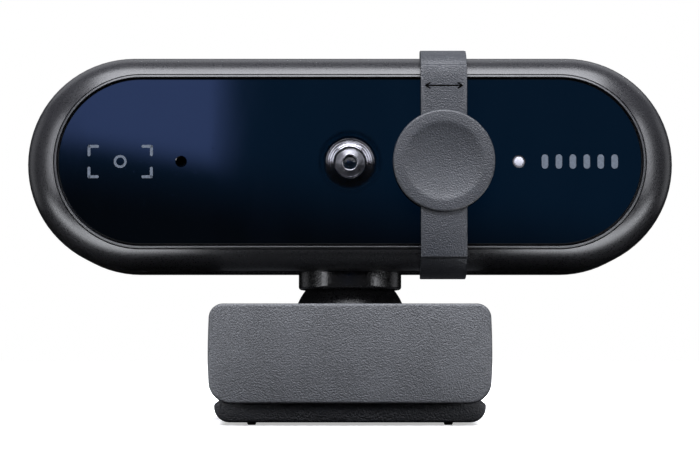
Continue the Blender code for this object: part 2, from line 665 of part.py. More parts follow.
def make_swivel_dome():
    """The slotted half ball that turns on the clip's web."""
    base_rise = DOME_BASE_Z - BALL_Z
    floor_rise = base_rise + DOME_FLOOR
    outer_end = math.asin(base_rise / DOME_RADIUS)
    inner_end = math.asin(floor_rise / DOME_INNER_RADIUS)
    outer = arc((0, BALL_Z), DOME_RADIUS, math.pi / 2, outer_end, 8)
    inner = arc((0, BALL_Z), DOME_INNER_RADIUS, inner_end, math.pi / 2, 6)
    outer[0] = (0.0, BALL_Z + DOME_RADIUS)
    inner[-1] = (0.0, BALL_Z + DOME_INNER_RADIUS)
    skirt_inner = SKIRT_RADIUS - SKIRT_WALL
    skirt = [
        (SKIRT_RADIUS, DOME_BASE_Z),
        (SKIRT_RADIUS, SKIRT_BOTTOM),
        (skirt_inner, SKIRT_BOTTOM),
        (skirt_inner, BALL_Z + floor_rise),
    ]
    shell = turned(outer + skirt + inner, FINE_STEPS)
    dome = part(shell, "swivel_dome", "satin_black", "turret", (0, 0, 0))
    tongue_angle = math.asin(TONGUE_HALF_DEPTH / DOME_INNER_RADIUS)
    play = GAP / DOME_INNER_RADIUS
    front_end = math.pi / 2 + TILT_DOWN + tongue_angle + play
    rear_end = math.pi / 2 - TILT_UP - tongue_angle - play
    # angles here run from +Y towards +Z, so the front of the slot has the larger one
    fan = arc((0, 0), DOME_RADIUS + DOME_WALL, rear_end, front_end, 8)
    fan += arc((0, 0), DOME_INNER_RADIUS - DOME_WALL, front_end, rear_end, 8)
    cut(dome, facing_right(plate([fan], 2 * SLOT_HALF_WIDTH)), (0, 0, BALL_Z))


def make_pan_retainer():
    """The flanged plug under the web, pressed into the dome's skirt, and the washer above its flange."""
    spigot = SKIRT_RADIUS - SKIRT_WALL - GAP
    hollow = spigot - SKIRT_WALL
    flange_bottom = RETAINER_TOP - RETAINER_FLANGE
    spigot_top = DOME_BASE_Z - 2 * GAP
    profile = [
        (0.0, spigot_top),
        (spigot, spigot_top),
        (spigot, RETAINER_TOP),
        (RETAINER_RADIUS, RETAINER_TOP),
        (RETAINER_RADIUS, flange_bottom),
        (hollow, flange_bottom),
        (hollow, spigot_top - SKIRT_WALL),
        (0.0, spigot_top - SKIRT_WALL),
    ]
    part(turned(profile, FINE_STEPS), "pan_retainer", "satin_black", "turret", (0, 0, 0))
    washer = ring(PAN_BORE_RADIUS + GAP, RETAINER_RADIUS, PAN_WASHER_THICKNESS, FINE_STEPS)
    washer_z = RETAINER_TOP + GAP + PAN_WASHER_THICKNESS / 2
    part(washer, "pan_washer", "nylon", "turret", (0, 0, washer_z))


def make_swivel_collar():
    """The socket that rides over the dome, with the flange that holds it inside the head."""
    mouth = math.asin(COLLAR_OVER_CENTRE / SOCKET_RADIUS)
    cavity = arc((0, BALL_Z), SOCKET_RADIUS, mouth, math.pi / 2, 8)
    cavity[-1] = (0.0, BALL_Z + SOCKET_RADIUS)
    profile = [
        (0.0, FLANGE_TOP),
        (COLLAR_RADIUS, FLANGE_TOP),
        (COLLAR_RADIUS, COLLAR_BOTTOM + COLLAR_EDGE),
        (COLLAR_RADIUS - COLLAR_EDGE, COLLAR_BOTTOM),
    ]
    collar = part(turned(profile + cavity, FINE_STEPS), "swivel_collar", "satin_black", "head", (0, 0, 0))
    flange = box((2 * FLANGE_HALF_LENGTH, 2 * FLANGE_HALF_DEPTH, FLANGE_THICKNESS))
    add(collar, flange, (0, 0, middle(FLANGE_BOTTOM, FLANGE_TOP)))
    tongue_bottom = BALL_Z + DOME_INNER_RADIUS + GAP / 2
    tongue_top = BALL_Z + SOCKET_RADIUS + GAP
    tongue = box((2 * (SLOT_HALF_WIDTH - GAP), 2 * TONGUE_HALF_DEPTH, tongue_top - tongue_bottom))
    add(collar, tongue, (0, 0, middle(tongue_bottom, tongue_top)))
    cut(collar, rod(STEM_HOLE_RADIUS, 4 * DOME_RADIUS), (0, 0, FLANGE_TOP))
    for side in (-1, 1):
        hole = rod(SCREW_RADIUS + GAP, 4 * FLANGE_THICKNESS, steps=SCREW_STEPS)
        cut(collar, hole, (side * NECK_SCREW_X, 0, FLANGE_TOP))


def make_neck_stack():
    """Inside the dome: saddle, spring washer, flat washer, and the stem with its nut on top."""
    steps = 4
    outer_end = math.acos(SADDLE_HALF_WIDTH / SADDLE_RADIUS)
    outer_start = math.acos(STEM_HOLE_RADIUS / SADDLE_RADIUS)
    inner_radius = SADDLE_RADIUS - SADDLE_THICKNESS
    inner_end = math.acos(SADDLE_HALF_WIDTH / inner_radius)
    inner_start = math.acos(STEM_HOLE_RADIUS / inner_radius)
    centre = (0, BALL_Z)
    saddle = arc(centre, SADDLE_RADIUS, outer_start, outer_end, steps)
    saddle += arc(centre, inner_radius, inner_end, inner_start, steps)
    part(turned(saddle), "tilt_saddle", "nylon", "head", (0, 0, 0))

    cone_outer = BALL_Z + inner_radius * math.sin(math.acos(SPRING_WASHER_RADIUS / inner_radius)) - GAP
    cone_inner = BALL_Z + inner_radius * math.sin(inner_start) - GAP
    cone = [
        (STEM_HOLE_RADIUS, cone_inner),
        (SPRING_WASHER_RADIUS, cone_outer),
        (SPRING_WASHER_RADIUS, cone_outer - SPRING_WASHER_THICKNESS),
        (STEM_HOLE_RADIUS, cone_inner - SPRING_WASHER_THICKNESS),
    ]
    part(turned(cone), "spring_washer", "steel", "head", (0, 0, 0))

    washer_top = cone_outer - SPRING_WASHER_THICKNESS - GAP
    flat = ring(STEM_HOLE_RADIUS, SPRING_WASHER_RADIUS - GAP, STEM_WASHER_THICKNESS)
    part(flat, "stem_washer", "steel", "head", (0, 0, washer_top - STEM_WASHER_THICKNESS / 2))

    head_top = washer_top - STEM_WASHER_THICKNESS - GAP
    head_bottom = head_top - STEM_HEAD_THICKNESS
    stem = [
        (0.0, NUT_TOP),
        (STEM_RADIUS, NUT_TOP),
        (STEM_RADIUS, head_top),
        (STEM_HEAD_RADIUS, head_top),
        (STEM_HEAD_RADIUS, head_bottom),
        (0.0, head_bottom),
    ]
    part(turned(stem), "stem_screw", "steel", "head", (0, 0, 0))
    nut = ring(STEM_HOLE_RADIUS, NUT_RADIUS, NUT_THICKNESS, 6)
    part(nut, "stem_nut", "steel", "head", (0, 0, NUT_TOP - NUT_THICKNESS / 2))


def screw(head_radius, head_thickness, radius, length):
    """A pan-head screw about its seat: the head above, the shank below."""
    edge = head_radius / 4
    return turned([
        (0.0, head_thickness),
        (head_radius - edge, head_thickness),
        (head_radius, head_thickness - edge),
        (head_radius, 0.0),
        (radius, 0.0),
        (radius, -length),
        (0.0, -length),
    ], SCREW_STEPS)


def make_neck_screws():
    """Two screws that hold the collar's flange down in the head."""
    shank = FLANGE_THICKNESS + NECK_PAD_THICKNESS + 2 * GAP
    for side, label in ((-1, "left"), (1, "right")):
        fastener = screw(SCREW_HEAD_RADIUS, NUT_THICKNESS - GAP, SCREW_RADIUS, shank)
        part(fastener, "neck_screw_" + label, "steel", "head", (side * NECK_SCREW_X, 0, FLANGE_TOP + GAP))


# ---- camera head ----

def boss_places():
    """The four (x, z) places of the screws that join the bezel to the housing."""
    return [(sx * BOSS_X, BODY_Z + sz * BOSS_Z) for sx in (-1, 1) for sz in (-1, 1)]


def post_places():
    """The four (x, z) places of the screws that hold the board."""
    top = BOARD_TOP - BOARD_POST_INSET
    bottom = BOARD_BOTTOM + BOARD_POST_INSET
    return [(sx * BOARD_POST_X, z) for sx in (-1, 1) for z in (bottom, top)]


def housing_rings():
    """Rings of the housing: out along its inside, round the rim, and back along its outside."""
    start = BACK_Y - REAR_ROUND_DEPTH
    outside = []
    for i in range(RIM_STEPS + 1):
        lean = RIM_START + (math.pi / 2 - RIM_START) * i / RIM_STEPS
        shrink = 1 - math.sin(lean)
        y = WIDEST_Y - RIM_ROUND_DEPTH * math.cos(lean)
        half_height = BODY_HALF_HEIGHT - RIM_ROUND_SIDE * shrink
        outside.append((BODY_HALF_LENGTH - RIM_ROUND_END * shrink, half_height, y))
    for i in range(REAR_STEPS + 1):
        turn = math.pi / 2 * i / REAR_STEPS
        shrink = 1 - math.cos(turn)
        y = start + REAR_ROUND_DEPTH * math.sin(turn)
        half_height = BODY_HALF_HEIGHT - REAR_ROUND_SIDE * shrink
        outside.append((BODY_HALF_LENGTH - REAR_ROUND_END * shrink, half_height, y))
    inside = []
    inner_length = BODY_HALF_LENGTH - BODY_WALL
    inner_height = BODY_HALF_HEIGHT - BODY_WALL
    for i in range(REAR_STEPS, -1, -1):
        turn = math.pi / 2 * i / REAR_STEPS
        shrink = 1 - math.cos(turn)
        y = start + (REAR_ROUND_DEPTH - BODY_WALL) * math.sin(turn)
        half_length = inner_length - (REAR_ROUND_END - BODY_WALL / 2) * shrink
        inside.append((half_length, inner_height - (REAR_ROUND_SIDE - BODY_WALL / 2) * shrink, y))
    step_y = BEZEL_BACK_Y + 2.5 * GAP
    mouth = (BEZEL_HALF_LENGTH + GAP, BEZEL_RADIUS + GAP)
    inside += [(inner_length, inner_height, step_y), (*mouth, step_y)]
    return inside + outside


def make_body_housing():
    """The one-piece shell of the head, open at the front."""
    housing = part(lofted(housing_rings()), "body_housing", "soft_black", "head", (0, 0, BODY_Z))
    inner_back = BACK_Y - BODY_WALL
    boss_end = inner_back + BODY_WALL / 3
    boss_front = BOSS_MEET_Y + GAP / 2
    boss_radius = SCREW_HEAD_RADIUS + GAP + RECESS_WALL
    for x, z in boss_places():
        boss = rod(boss_radius, boss_end - boss_front, "Y", SMALL_STEPS)
        add(housing, boss, (x, middle(boss_front, boss_end), z))
    pad_half_length = FLANGE_HALF_LENGTH + GAP
    pad_bottom = BODY_BOTTOM + BODY_WALL / 2
    neck_pad = box((2 * pad_half_length, 2 * FLANGE_HALF_DEPTH, NECK_PAD_TOP - pad_bottom))
    add(housing, neck_pad, (0, 0, middle(pad_bottom, NECK_PAD_TOP)))
    cut(housing, rod(COLLAR_RADIUS + GAP, 6 * BODY_WALL, steps=FINE_STEPS), (0, 0, BODY_BOTTOM))
    pilot_depth = NECK_PAD_THICKNESS + BODY_WALL / 2
    for side in (-1, 1):
        pilot = rod(SCREW_RADIUS + GAP, 2 * pilot_depth, steps=SCREW_STEPS)
        cut(housing, pilot, (side * NECK_SCREW_X, 0, NECK_PAD_TOP))
    for x, z in boss_places():
        recess_depth = HOUSING_SCREW_SEAT_DEPTH
        recess = rod(SCREW_HEAD_RADIUS + GAP, 2 * recess_depth, "Y", SCREW_STEPS)
        cut(housing, recess, (x, BACK_Y, z))
        cut(housing, rod(SCREW_RADIUS + GAP, 2 * BODY_DEPTH, "Y", SCREW_STEPS), (x, BACK_Y, z))
    cut(housing, rod(GLAND_NECK_RADIUS + GAP, 4 * BODY_WALL, "Y"), (0, BACK_Y, BODY_Z))
    for i in range(VENTS_PER_SIDE):
        for side in (-1, 1):
            vent = box((VENT_WIDTH, 4 * BODY_WALL, VENT_HEIGHT))
            cut(housing, vent, (side * (VENT_FIRST_X + i * VENT_PITCH), BACK_Y, BODY_Z))
    groove_half = BODY_HALF_LENGTH - BODY_HALF_HEIGHT - GROOVE_END_MARGIN
    groove_width = COVER_HOOK_LENGTH + 2 * GAP
    for side in (-1, 1):
        groove = box((2 * groove_half, groove_width, 2 * GROOVE_DEPTH))
        cut(housing, groove, (0, WIDEST_Y + COVER_HOOK_LENGTH / 2, BODY_Z + side * BODY_HALF_HEIGHT))


def make_front_bezel():
    """The tray that carries the window: a raised lip, a floor behind it, bosses and board posts."""
    recess = BEZEL_RADIUS - BEZEL_LIP
    back = BEZEL_RADIUS - BEZEL_SKIRT_WALL
    edge = BEZEL_EDGE

    def at(radius, y):
        return (BEZEL_STRAIGHT + radius, radius, y)

    rings = [
        at(recess, FLOOR_FRONT_Y),
        at(recess, FRONT_Y + edge / 2),
        at(recess + edge / 2, FRONT_Y),
        at(BEZEL_RADIUS - edge, FRONT_Y),
        at(BEZEL_RADIUS, FRONT_Y + edge),
        at(BEZEL_RADIUS, BEZEL_BACK_Y),
        at(back, BEZEL_BACK_Y),
        at(back, FLOOR_BACK_Y),
    ]
    bezel = part(lofted(rings), "front_bezel", "soft_black", "head", (0, 0, BODY_Z))
    root = FLOOR_BACK_Y - BEZEL_FLOOR / 2
    boss_end = BOSS_MEET_Y - GAP / 2
    for x, z in boss_places():
        add(bezel, rod(BOSS_RADIUS, boss_end - root, "Y", SCREW_STEPS), (x, middle(root, boss_end), z))
        pilot = rod(SCREW_RADIUS + GAP, 2 * (SCREW_ENGAGEMENT + GAP), "Y", SCREW_STEPS)
        cut(bezel, pilot, (x, boss_end, z))
    post_end = BOARD_FRONT_Y - GAP
    for x, z in post_places():
        post = rod(BOARD_POST_RADIUS, post_end - root, "Y", SCREW_STEPS)
        add(bezel, post, (x, middle(root, post_end), z))
        pilot = rod(BOARD_SCREW_RADIUS + GAP, 2 * (SCREW_ENGAGEMENT + GAP), "Y", SCREW_STEPS)
        cut(bezel, pilot, (x, post_end, z))
    cut(bezel, rod(LENS_SHROUD_RADIUS + GAP, 3 * BEZEL_FLOOR, "Y"), (0, FLOOR_FRONT_Y, BODY_Z))
    cut(bezel, rod(MIC_HOLE_RADIUS + GAP, 3 * BEZEL_FLOOR, "Y", SCREW_STEPS),
        (-BOARD_PARTS_X, FLOOR_FRONT_Y, BODY_Z))
    cut(bezel, rod(LAMP_RADIUS + GAP, 3 * BEZEL_FLOOR, "Y", SCREW_STEPS),
        (BOARD_PARTS_X, FLOOR_FRONT_Y, BODY_Z))


def make_window():
    """The dark front window with its microphone and lamp holes, and the adhesive gasket behind it."""
    pane = facing_front(plate([stadium(BEZEL_STRAIGHT, WINDOW_RADIUS)], WINDOW_THICKNESS))
    place = (0, middle(WINDOW_FRONT_Y, WINDOW_BACK_Y), BODY_Z)
    window = part(pane, "front_window", "tinted_glass", "head", place)
    through = 3 * WINDOW_THICKNESS
    cut(window, rod(MIC_HOLE_RADIUS, through, "Y", SCREW_STEPS), (-BOARD_PARTS_X, WINDOW_FRONT_Y, BODY_Z))
    cut(window, rod(LAMP_RADIUS + GAP, through, "Y", SCREW_STEPS), (BOARD_PARTS_X, WINDOW_FRONT_Y, BODY_Z))
    outer = stadium(BEZEL_STRAIGHT, WINDOW_RADIUS - GAP)
    inner = stadium(BEZEL_STRAIGHT, WINDOW_RADIUS - GAP - GASKET_WIDTH)
    gasket = facing_front(plate([outer, inner], GASKET_THICKNESS))
    part(gasket, "window_gasket", "rubber", "head", (0, GASKET_FRONT_Y + GASKET_THICKNESS / 2, BODY_Z))


def make_lens():
    """The lens: shroud, barrel, front and rear glass, holder, filter and image sensor.

    The turned profiles give how far forward of the pan axis each point lies, and face the front.
    """
    axis_place = (0, 0, BODY_Z)
    nose = -(FRONT_Y + LENS_NOSE_SETBACK)
    shoulder = -FLOOR_BACK_Y - GAP
    shroud_back = shoulder + GAP
    cone_edge = shroud_back + LENS_SHROUD_RIM
    cone_bore = LENS_NOSE_RADIUS + GAP
    shroud = [
        (cone_bore, cone_edge + LENS_CONE_RISE),
        (LENS_CONE_RADIUS, cone_edge),
        (LENS_SHROUD_RADIUS, cone_edge),
        (LENS_SHROUD_RADIUS, shroud_back),
        (cone_bore, shroud_back),
    ]
    part(facing_front(turned(shroud)), "lens_shroud", "satin_black", "head", axis_place)

    holder_back = -(BOARD_FRONT_Y - GAP)
    holder_front = holder_back + LENS_HOLDER_DEPTH
    barrel_back = holder_back + SENSOR_POCKET_DEPTH + GAP
    lip = nose - LENS_LIP
    front_glass = lip - LENS_GLASS_DEPTH
    rear_bore = LENS_BORE_RADIUS + LENS_REAR_STEP
    barrel = [
        (LENS_PUPIL_RADIUS + GAP, nose),
        (LENS_NOSE_RADIUS, nose),
        (LENS_NOSE_RADIUS, shoulder),
        (LENS_THREAD_RADIUS, shoulder),
        (LENS_THREAD_RADIUS, barrel_back),
        (rear_bore, barrel_back),
        (rear_bore, shoulder - GAP),
        (LENS_BORE_RADIUS, shoulder - GAP),
        (LENS_BORE_RADIUS, lip),
        (LENS_PUPIL_RADIUS + GAP, lip),
    ]
    part(facing_front(turned(barrel)), "lens_barrel", "satin_black", "head", axis_place)
    front_radius = LENS_BORE_RADIUS - GAP
    front = [
        (0.0, nose - LENS_LIP / 3),
        (LENS_PUPIL_RADIUS * 0.6, nose - LENS_LIP * 2 / 3),
        (LENS_PUPIL_RADIUS, lip - GAP),
        (front_radius, lip - GAP),
        (front_radius, front_glass),
        (0.0, front_glass),
    ]
    part(facing_front(turned(front)), "lens_front_element", "lens_glass", "head", axis_place)
    rear_radius = rear_bore - GAP
    rear_front = middle(barrel_back, shoulder)
    rear = [
        (0.0, rear_front),
        (rear_radius, rear_front - LENS_REAR_DEPTH / 3),
        (rear_radius, rear_front - LENS_REAR_DEPTH),
        (0.0, rear_front - LENS_REAR_DEPTH),
    ]
    part(facing_front(turned(rear)), "lens_rear_element", "lens_glass", "head", axis_place)

    holder_block = box((LENS_HOLDER_SIZE, LENS_HOLDER_DEPTH, LENS_HOLDER_SIZE))
    soften(holder_block, LENS_HOLDER_EDGE, 1)
    place = (0, -middle(holder_back, holder_front), BODY_Z)
    holder = part(holder_block, "lens_holder", "satin_black", "head", place)
    cut(holder, rod(LENS_THREAD_RADIUS + GAP, 3 * LENS_HOLDER_DEPTH, "Y"), (0, -holder_back, BODY_Z))
    pocket = box((SENSOR_POCKET_SIZE, 2 * SENSOR_POCKET_DEPTH, SENSOR_POCKET_SIZE))
    cut(holder, pocket, (0, -holder_back, BODY_Z))

    sensor_front = holder_back + SENSOR_THICKNESS
    sensor = box((SENSOR_WIDTH, sensor_front - holder_back, SENSOR_HEIGHT))
    part(sensor, "image_sensor", "chip_black", "head", (0, -middle(holder_back, sensor_front), BODY_Z))
    filter_back = sensor_front + GAP
    filter_front = filter_back + FILTER_THICKNESS
    filter_pane = box((FILTER_SIZE, FILTER_THICKNESS, FILTER_SIZE))
    part(filter_pane, "ir_filter", "lens_glass", "head", (0, -middle(filter_back, filter_front), BODY_Z))


def make_board():
    """The circuit board with its holes, and the parts soldered to it."""
    height = BOARD_TOP - BOARD_BOTTOM
    board_z = middle(BOARD_BOTTOM, BOARD_TOP)
    slab = box((2 * BOARD_HALF_LENGTH, BOARD_THICKNESS, height))
    place = (0, middle(BOARD_FRONT_Y, BOARD_BACK_Y), board_z)
    board = part(slab, "main_board", "board_green", "head", place)
    seat_y = BOARD_BACK_Y + GAP
    for i, (x, z) in enumerate(post_places(), start=1):
        hole = rod(BOARD_SCREW_RADIUS + GAP, 3 * BOARD_THICKNESS, "Y", SCREW_STEPS)
        cut(board, hole, (x, BOARD_BACK_Y, z))
        shank = BOARD_THICKNESS + SCREW_ENGAGEMENT
        fastener = screw(BOARD_SCREW_HEAD_RADIUS, BOARD_SCREW_HEAD_THICKNESS, BOARD_SCREW_RADIUS, shank)
        fastener.rotation_euler = (-math.pi / 2, 0.0, 0.0)
        part(fastener, f"board_screw_{i}", "steel", "head", (x, seat_y, z))
    for name, (look, (width, depth, tall), (x, z)) in BOARD_BACK_PARTS.items():
        shape = box((width * MM, depth * MM, tall * MM))
        place = (x * MM, seat_y + depth * MM / 2, board_z + z * MM)
        part(shape, name, look, "head", place)
    for name, (look, (width, depth, tall), side) in BOARD_FRONT_PARTS.items():
        shape = box((width * MM, depth * MM, tall * MM))
        place = (side * BOARD_PARTS_X, BOARD_FRONT_Y - GAP - depth * MM / 2, BODY_Z)
        part(shape, name, look, "head", place)


def make_mic_boot_and_light_guide():
    """The rubber tube that leads sound to the microphone, and the clear rod for the lamp's light."""
    behind_floor = -(FLOOR_BACK_Y + GAP)
    before_parts = -(BOARD_FRONT_Y - 5 * GAP)
    length = behind_floor - before_parts
    boot = ring(MIC_HOLE_RADIUS, MIC_BOOT_RADIUS, length)
    place_y = -middle(behind_floor, before_parts)
    part(facing_front(boot), "mic_boot", "rubber", "head", (-BOARD_PARTS_X, place_y, BODY_Z))
    guide = [
        (0.0, -WINDOW_FRONT_Y),
        (LAMP_RADIUS, -WINDOW_FRONT_Y),
        (LAMP_RADIUS, behind_floor),
        (LAMP_GUIDE_RADIUS, behind_floor),
        (LAMP_GUIDE_RADIUS, before_parts),
        (0.0, before_parts),
    ]
    part(facing_front(turned(guide)), "led_light_guide", "lamp_white", "head", (BOARD_PARTS_X, 0, BODY_Z))


def make_housing_screws():
    """Four screws driven from the back, through the housing's bosses into the bezel."""
    seat_y = HOUSING_SCREW_SEAT_Y + GAP
    shank = seat_y - BOSS_MEET_Y + SCREW_ENGAGEMENT
    for i, (x, z) in enumerate(boss_places(), start=1):
        fastener = screw(SCREW_HEAD_RADIUS, SCREW_HEAD_THICKNESS, SCREW_RADIUS, shank)
        fastener.rotation_euler = (-math.pi / 2, 0.0, 0.0)
        part(fastener, f"housing_screw_{i}", "steel", "head", (x, seat_y, z))


def make_cable_gland():
    """The rubber grommet in the back of the head, where a cord would pass."""
    outer_face = BACK_Y + GAP + GLAND_FLANGE_THICKNESS
    outer_seat = BACK_Y + GAP
    inner_seat = BACK_Y - BODY_WALL - GAP
    inner_face = inner_seat - GLAND_FLANGE_THICKNESS
    # heights here run to the back, so the profile is turned the other way round
    profile = [
        (GLAND_BORE_RADIUS, outer_face),
        (GLAND_FLANGE_RADIUS - GLAND_TAPER, outer_face),
        (GLAND_FLANGE_RADIUS, outer_seat),
        (GLAND_NECK_RADIUS, outer_seat),
        (GLAND_NECK_RADIUS, inner_seat),
        (GLAND_FLANGE_RADIUS, inner_seat),
        (GLAND_FLANGE_RADIUS, inner_face),
        (GLAND_BORE_RADIUS, inner_face),
    ]
    gland = turned(profile)
    gland.rotation_euler = (-math.pi / 2, 0.0, 0.0)
    part(gland, "cable_gland", "rubber", "head", (0, 0, BODY_Z))


# ---- sliding cover ----

def cover_profile():
    """Side outline of the strap that hooks over the rim, in (y, height above the head's centre)."""
    round_centre = BODY_HALF_HEIGHT - RIM_ROUND_SIDE
    hook_end = WIDEST_Y + COVER_HOOK_LENGTH
    inner_top = BODY_HALF_HEIGHT + GAP
    outer_top = inner_top + COVER_THICKNESS
    barb = BODY_HALF_HEIGHT - GROOVE_DEPTH + GAP

    def bend(clearance, start):
        """Quarter ellipse at a clearance from the rim, from its front to its widest point."""
        points = []
        steps = 6
        for i in range(steps + 1):
            lean = start + (math.pi / 2 - start) * i / steps
            height = round_centre + (RIM_ROUND_SIDE + clearance) * math.sin(lean)
            points.append((WIDEST_Y - (RIM_ROUND_DEPTH + clearance) * math.cos(lean), height))
        return points

    inner_lean = math.acos(min(1.0, (WIDEST_Y - COVER_BACK_Y) / (RIM_ROUND_DEPTH + GAP)))
    outside = bend(GAP + COVER_THICKNESS, COVER_BEND)
    outside = [(COVER_FRONT_Y, outside[0][1] - GAP)] + outside
    inside = bend(GAP, inner_lean)[::-1]
    hook_start = WIDEST_Y + GAP
    hook = [(hook_end, outer_top), (hook_end, barb), (hook_start, barb), (hook_start, inner_top)]
    top = outside + hook + inside
    bottom = [(y, -z) for y, z in reversed(top)]
    return top + bottom


def make_privacy_cover():
    """The strap that slides along the head, with its dished finger disc."""
    strap = facing_right(plate([cover_profile()], 2 * COVER_HALF_WIDTH))
    cover = part(strap, "privacy_cover", "grained_grey", "cover", (COVER_X, 0, BODY_Z))
    face = -COVER_FRONT_Y + COVER_DISC_RAISE
    edge = COVER_DISC_EDGE
    dish_steps = 5
    dish = []
    for i in range(dish_steps + 1):
        share = i / dish_steps
        dish.append((COVER_DISH_RADIUS * share, face - COVER_DISH_DEPTH * (1 - share * share)))
    disc = turned(dish + [
        (COVER_DISC_RADIUS - edge, face),
        (COVER_DISC_RADIUS, face - edge),
        (COVER_DISC_RADIUS, -COVER_BACK_Y),
        (0.0, -COVER_BACK_Y),
    ], FINE_STEPS)
    add(cover, facing_front(disc), (COVER_X, 0, BODY_Z))


def main():
    """Build every sub-part."""
    make_clip_bracket()
    make_pads()
    make_clip_leg()
    make_feet()
    make_leg_hinge()
    make_swivel_dome()
    make_pan_retainer()
    make_swivel_collar()
    make_neck_stack()
    make_neck_screws()
    make_body_housing()
    make_front_bezel()
    make_window()
    make_lens()
    make_board()
    make_mic_boot_and_light_guide()
    make_housing_screws()
    make_cable_gland()
    make_privacy_cover()
    bpy.context.view_layer.update()


main()
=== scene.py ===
"""Looks of a clip-on webcam: a pill-shaped head with a dark glass front and a sliding lens cover, its swivel neck,
and the folding clip that it stands on.

Lengths are in metres and +Z is up. A piece of the head is built with the head level and then leans back with it.
"""

import json
import logging
import math
from dataclasses import dataclass
from enum import Enum
from typing import Sequence, Union

import bmesh
import bpy
from mathutils import Matrix, Vector


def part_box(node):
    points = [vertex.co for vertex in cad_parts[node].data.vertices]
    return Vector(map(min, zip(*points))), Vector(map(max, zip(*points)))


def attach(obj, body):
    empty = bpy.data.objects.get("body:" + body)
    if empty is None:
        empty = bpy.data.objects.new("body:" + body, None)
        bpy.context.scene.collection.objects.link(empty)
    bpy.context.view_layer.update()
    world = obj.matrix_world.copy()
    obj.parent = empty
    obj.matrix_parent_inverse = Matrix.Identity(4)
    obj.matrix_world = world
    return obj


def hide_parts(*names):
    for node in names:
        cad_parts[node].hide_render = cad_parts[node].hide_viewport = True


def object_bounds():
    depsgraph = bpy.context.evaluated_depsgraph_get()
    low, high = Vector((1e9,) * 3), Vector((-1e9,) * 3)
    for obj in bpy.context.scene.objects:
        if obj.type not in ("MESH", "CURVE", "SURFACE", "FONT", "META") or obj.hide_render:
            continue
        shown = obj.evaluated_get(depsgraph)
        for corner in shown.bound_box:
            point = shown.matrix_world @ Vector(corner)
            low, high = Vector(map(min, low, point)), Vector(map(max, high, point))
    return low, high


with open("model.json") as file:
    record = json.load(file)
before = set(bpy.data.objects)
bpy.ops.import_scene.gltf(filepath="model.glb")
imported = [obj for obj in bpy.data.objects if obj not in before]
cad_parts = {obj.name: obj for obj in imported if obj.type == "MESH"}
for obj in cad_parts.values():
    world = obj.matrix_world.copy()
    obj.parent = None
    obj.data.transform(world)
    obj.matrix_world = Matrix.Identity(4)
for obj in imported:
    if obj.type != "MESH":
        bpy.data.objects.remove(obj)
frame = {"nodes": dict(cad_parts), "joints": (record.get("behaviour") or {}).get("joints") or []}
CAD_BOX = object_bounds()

MM = 0.001
GAP = 0.3 * MM
RIM_START = math.radians(25.0)
HOOK_LENGTH = 1.0 * MM
GROOVE_DEPTH = 0.7 * MM
ORIGIN = (0.0, 0.0, 0.0)
LOG = logging.getLogger("webcam")

Point = tuple[float, float]
Colour = tuple[float, float, float]
Feed = Union["Value", bpy.types.NodeSocket, float, Sequence[float]]


# ---- Shader maths ----

class Value:
    """A number that varies over a surface. Operators on it add Math nodes to its sheet."""

    def __init__(self, sheet: "NodeSheet", socket: bpy.types.NodeSocket) -> None:
        """Wrap a socket.

        Args:
            sheet: The node sheet that the socket belongs to.
            socket: An output socket that carries a number.
        """
        self.sheet = sheet
        self.socket = socket

    def _math(self, operation: str, left: Feed, right: Feed) -> "Value":
        """Add a Math node.

        Args:
            operation: The node's operation.
            left: Its first number.
            right: Its second number.

        Returns:
            The node's result.
        """
        node = self.sheet.node("ShaderNodeMath", {"operation": operation}, {0: left, 1: right})
        return Value(self.sheet, node.outputs[0])

    def __add__(self, other: Feed) -> "Value":
        """Sum."""
        return self._math("ADD", self, other)

    def __radd__(self, other: Feed) -> "Value":
        """Sum, with the number first."""
        return self._math("ADD", other, self)

    def __sub__(self, other: Feed) -> "Value":
        """Difference."""
        return self._math("SUBTRACT", self, other)

    def __rsub__(self, other: Feed) -> "Value":
        """Difference, with the number first."""
        return self._math("SUBTRACT", other, self)

    def __mul__(self, other: Feed) -> "Value":
        """Product."""
        return self._math("MULTIPLY", self, other)

    def __rmul__(self, other: Feed) -> "Value":
        """Product, with the number first."""
        return self._math("MULTIPLY", other, self)

    def sine(self) -> "Value":
        """Sine of the value, in radians."""
        return self._math("SINE", self, 0.0)

    def ease(self, low: float, high: float) -> "Value":
        """Rise smoothly from 0 to 1.

        Args:
            low: Where the rise starts.
            high: Where it ends.

        Returns:
            The eased share.
        """
        settings = {"interpolation_type": "SMOOTHSTEP"}
        node = self.sheet.node("ShaderNodeMapRange", settings, {0: self, 1: low, 2: high, 3: 0.0, 4: 1.0})
        return Value(self.sheet, node.outputs[0])


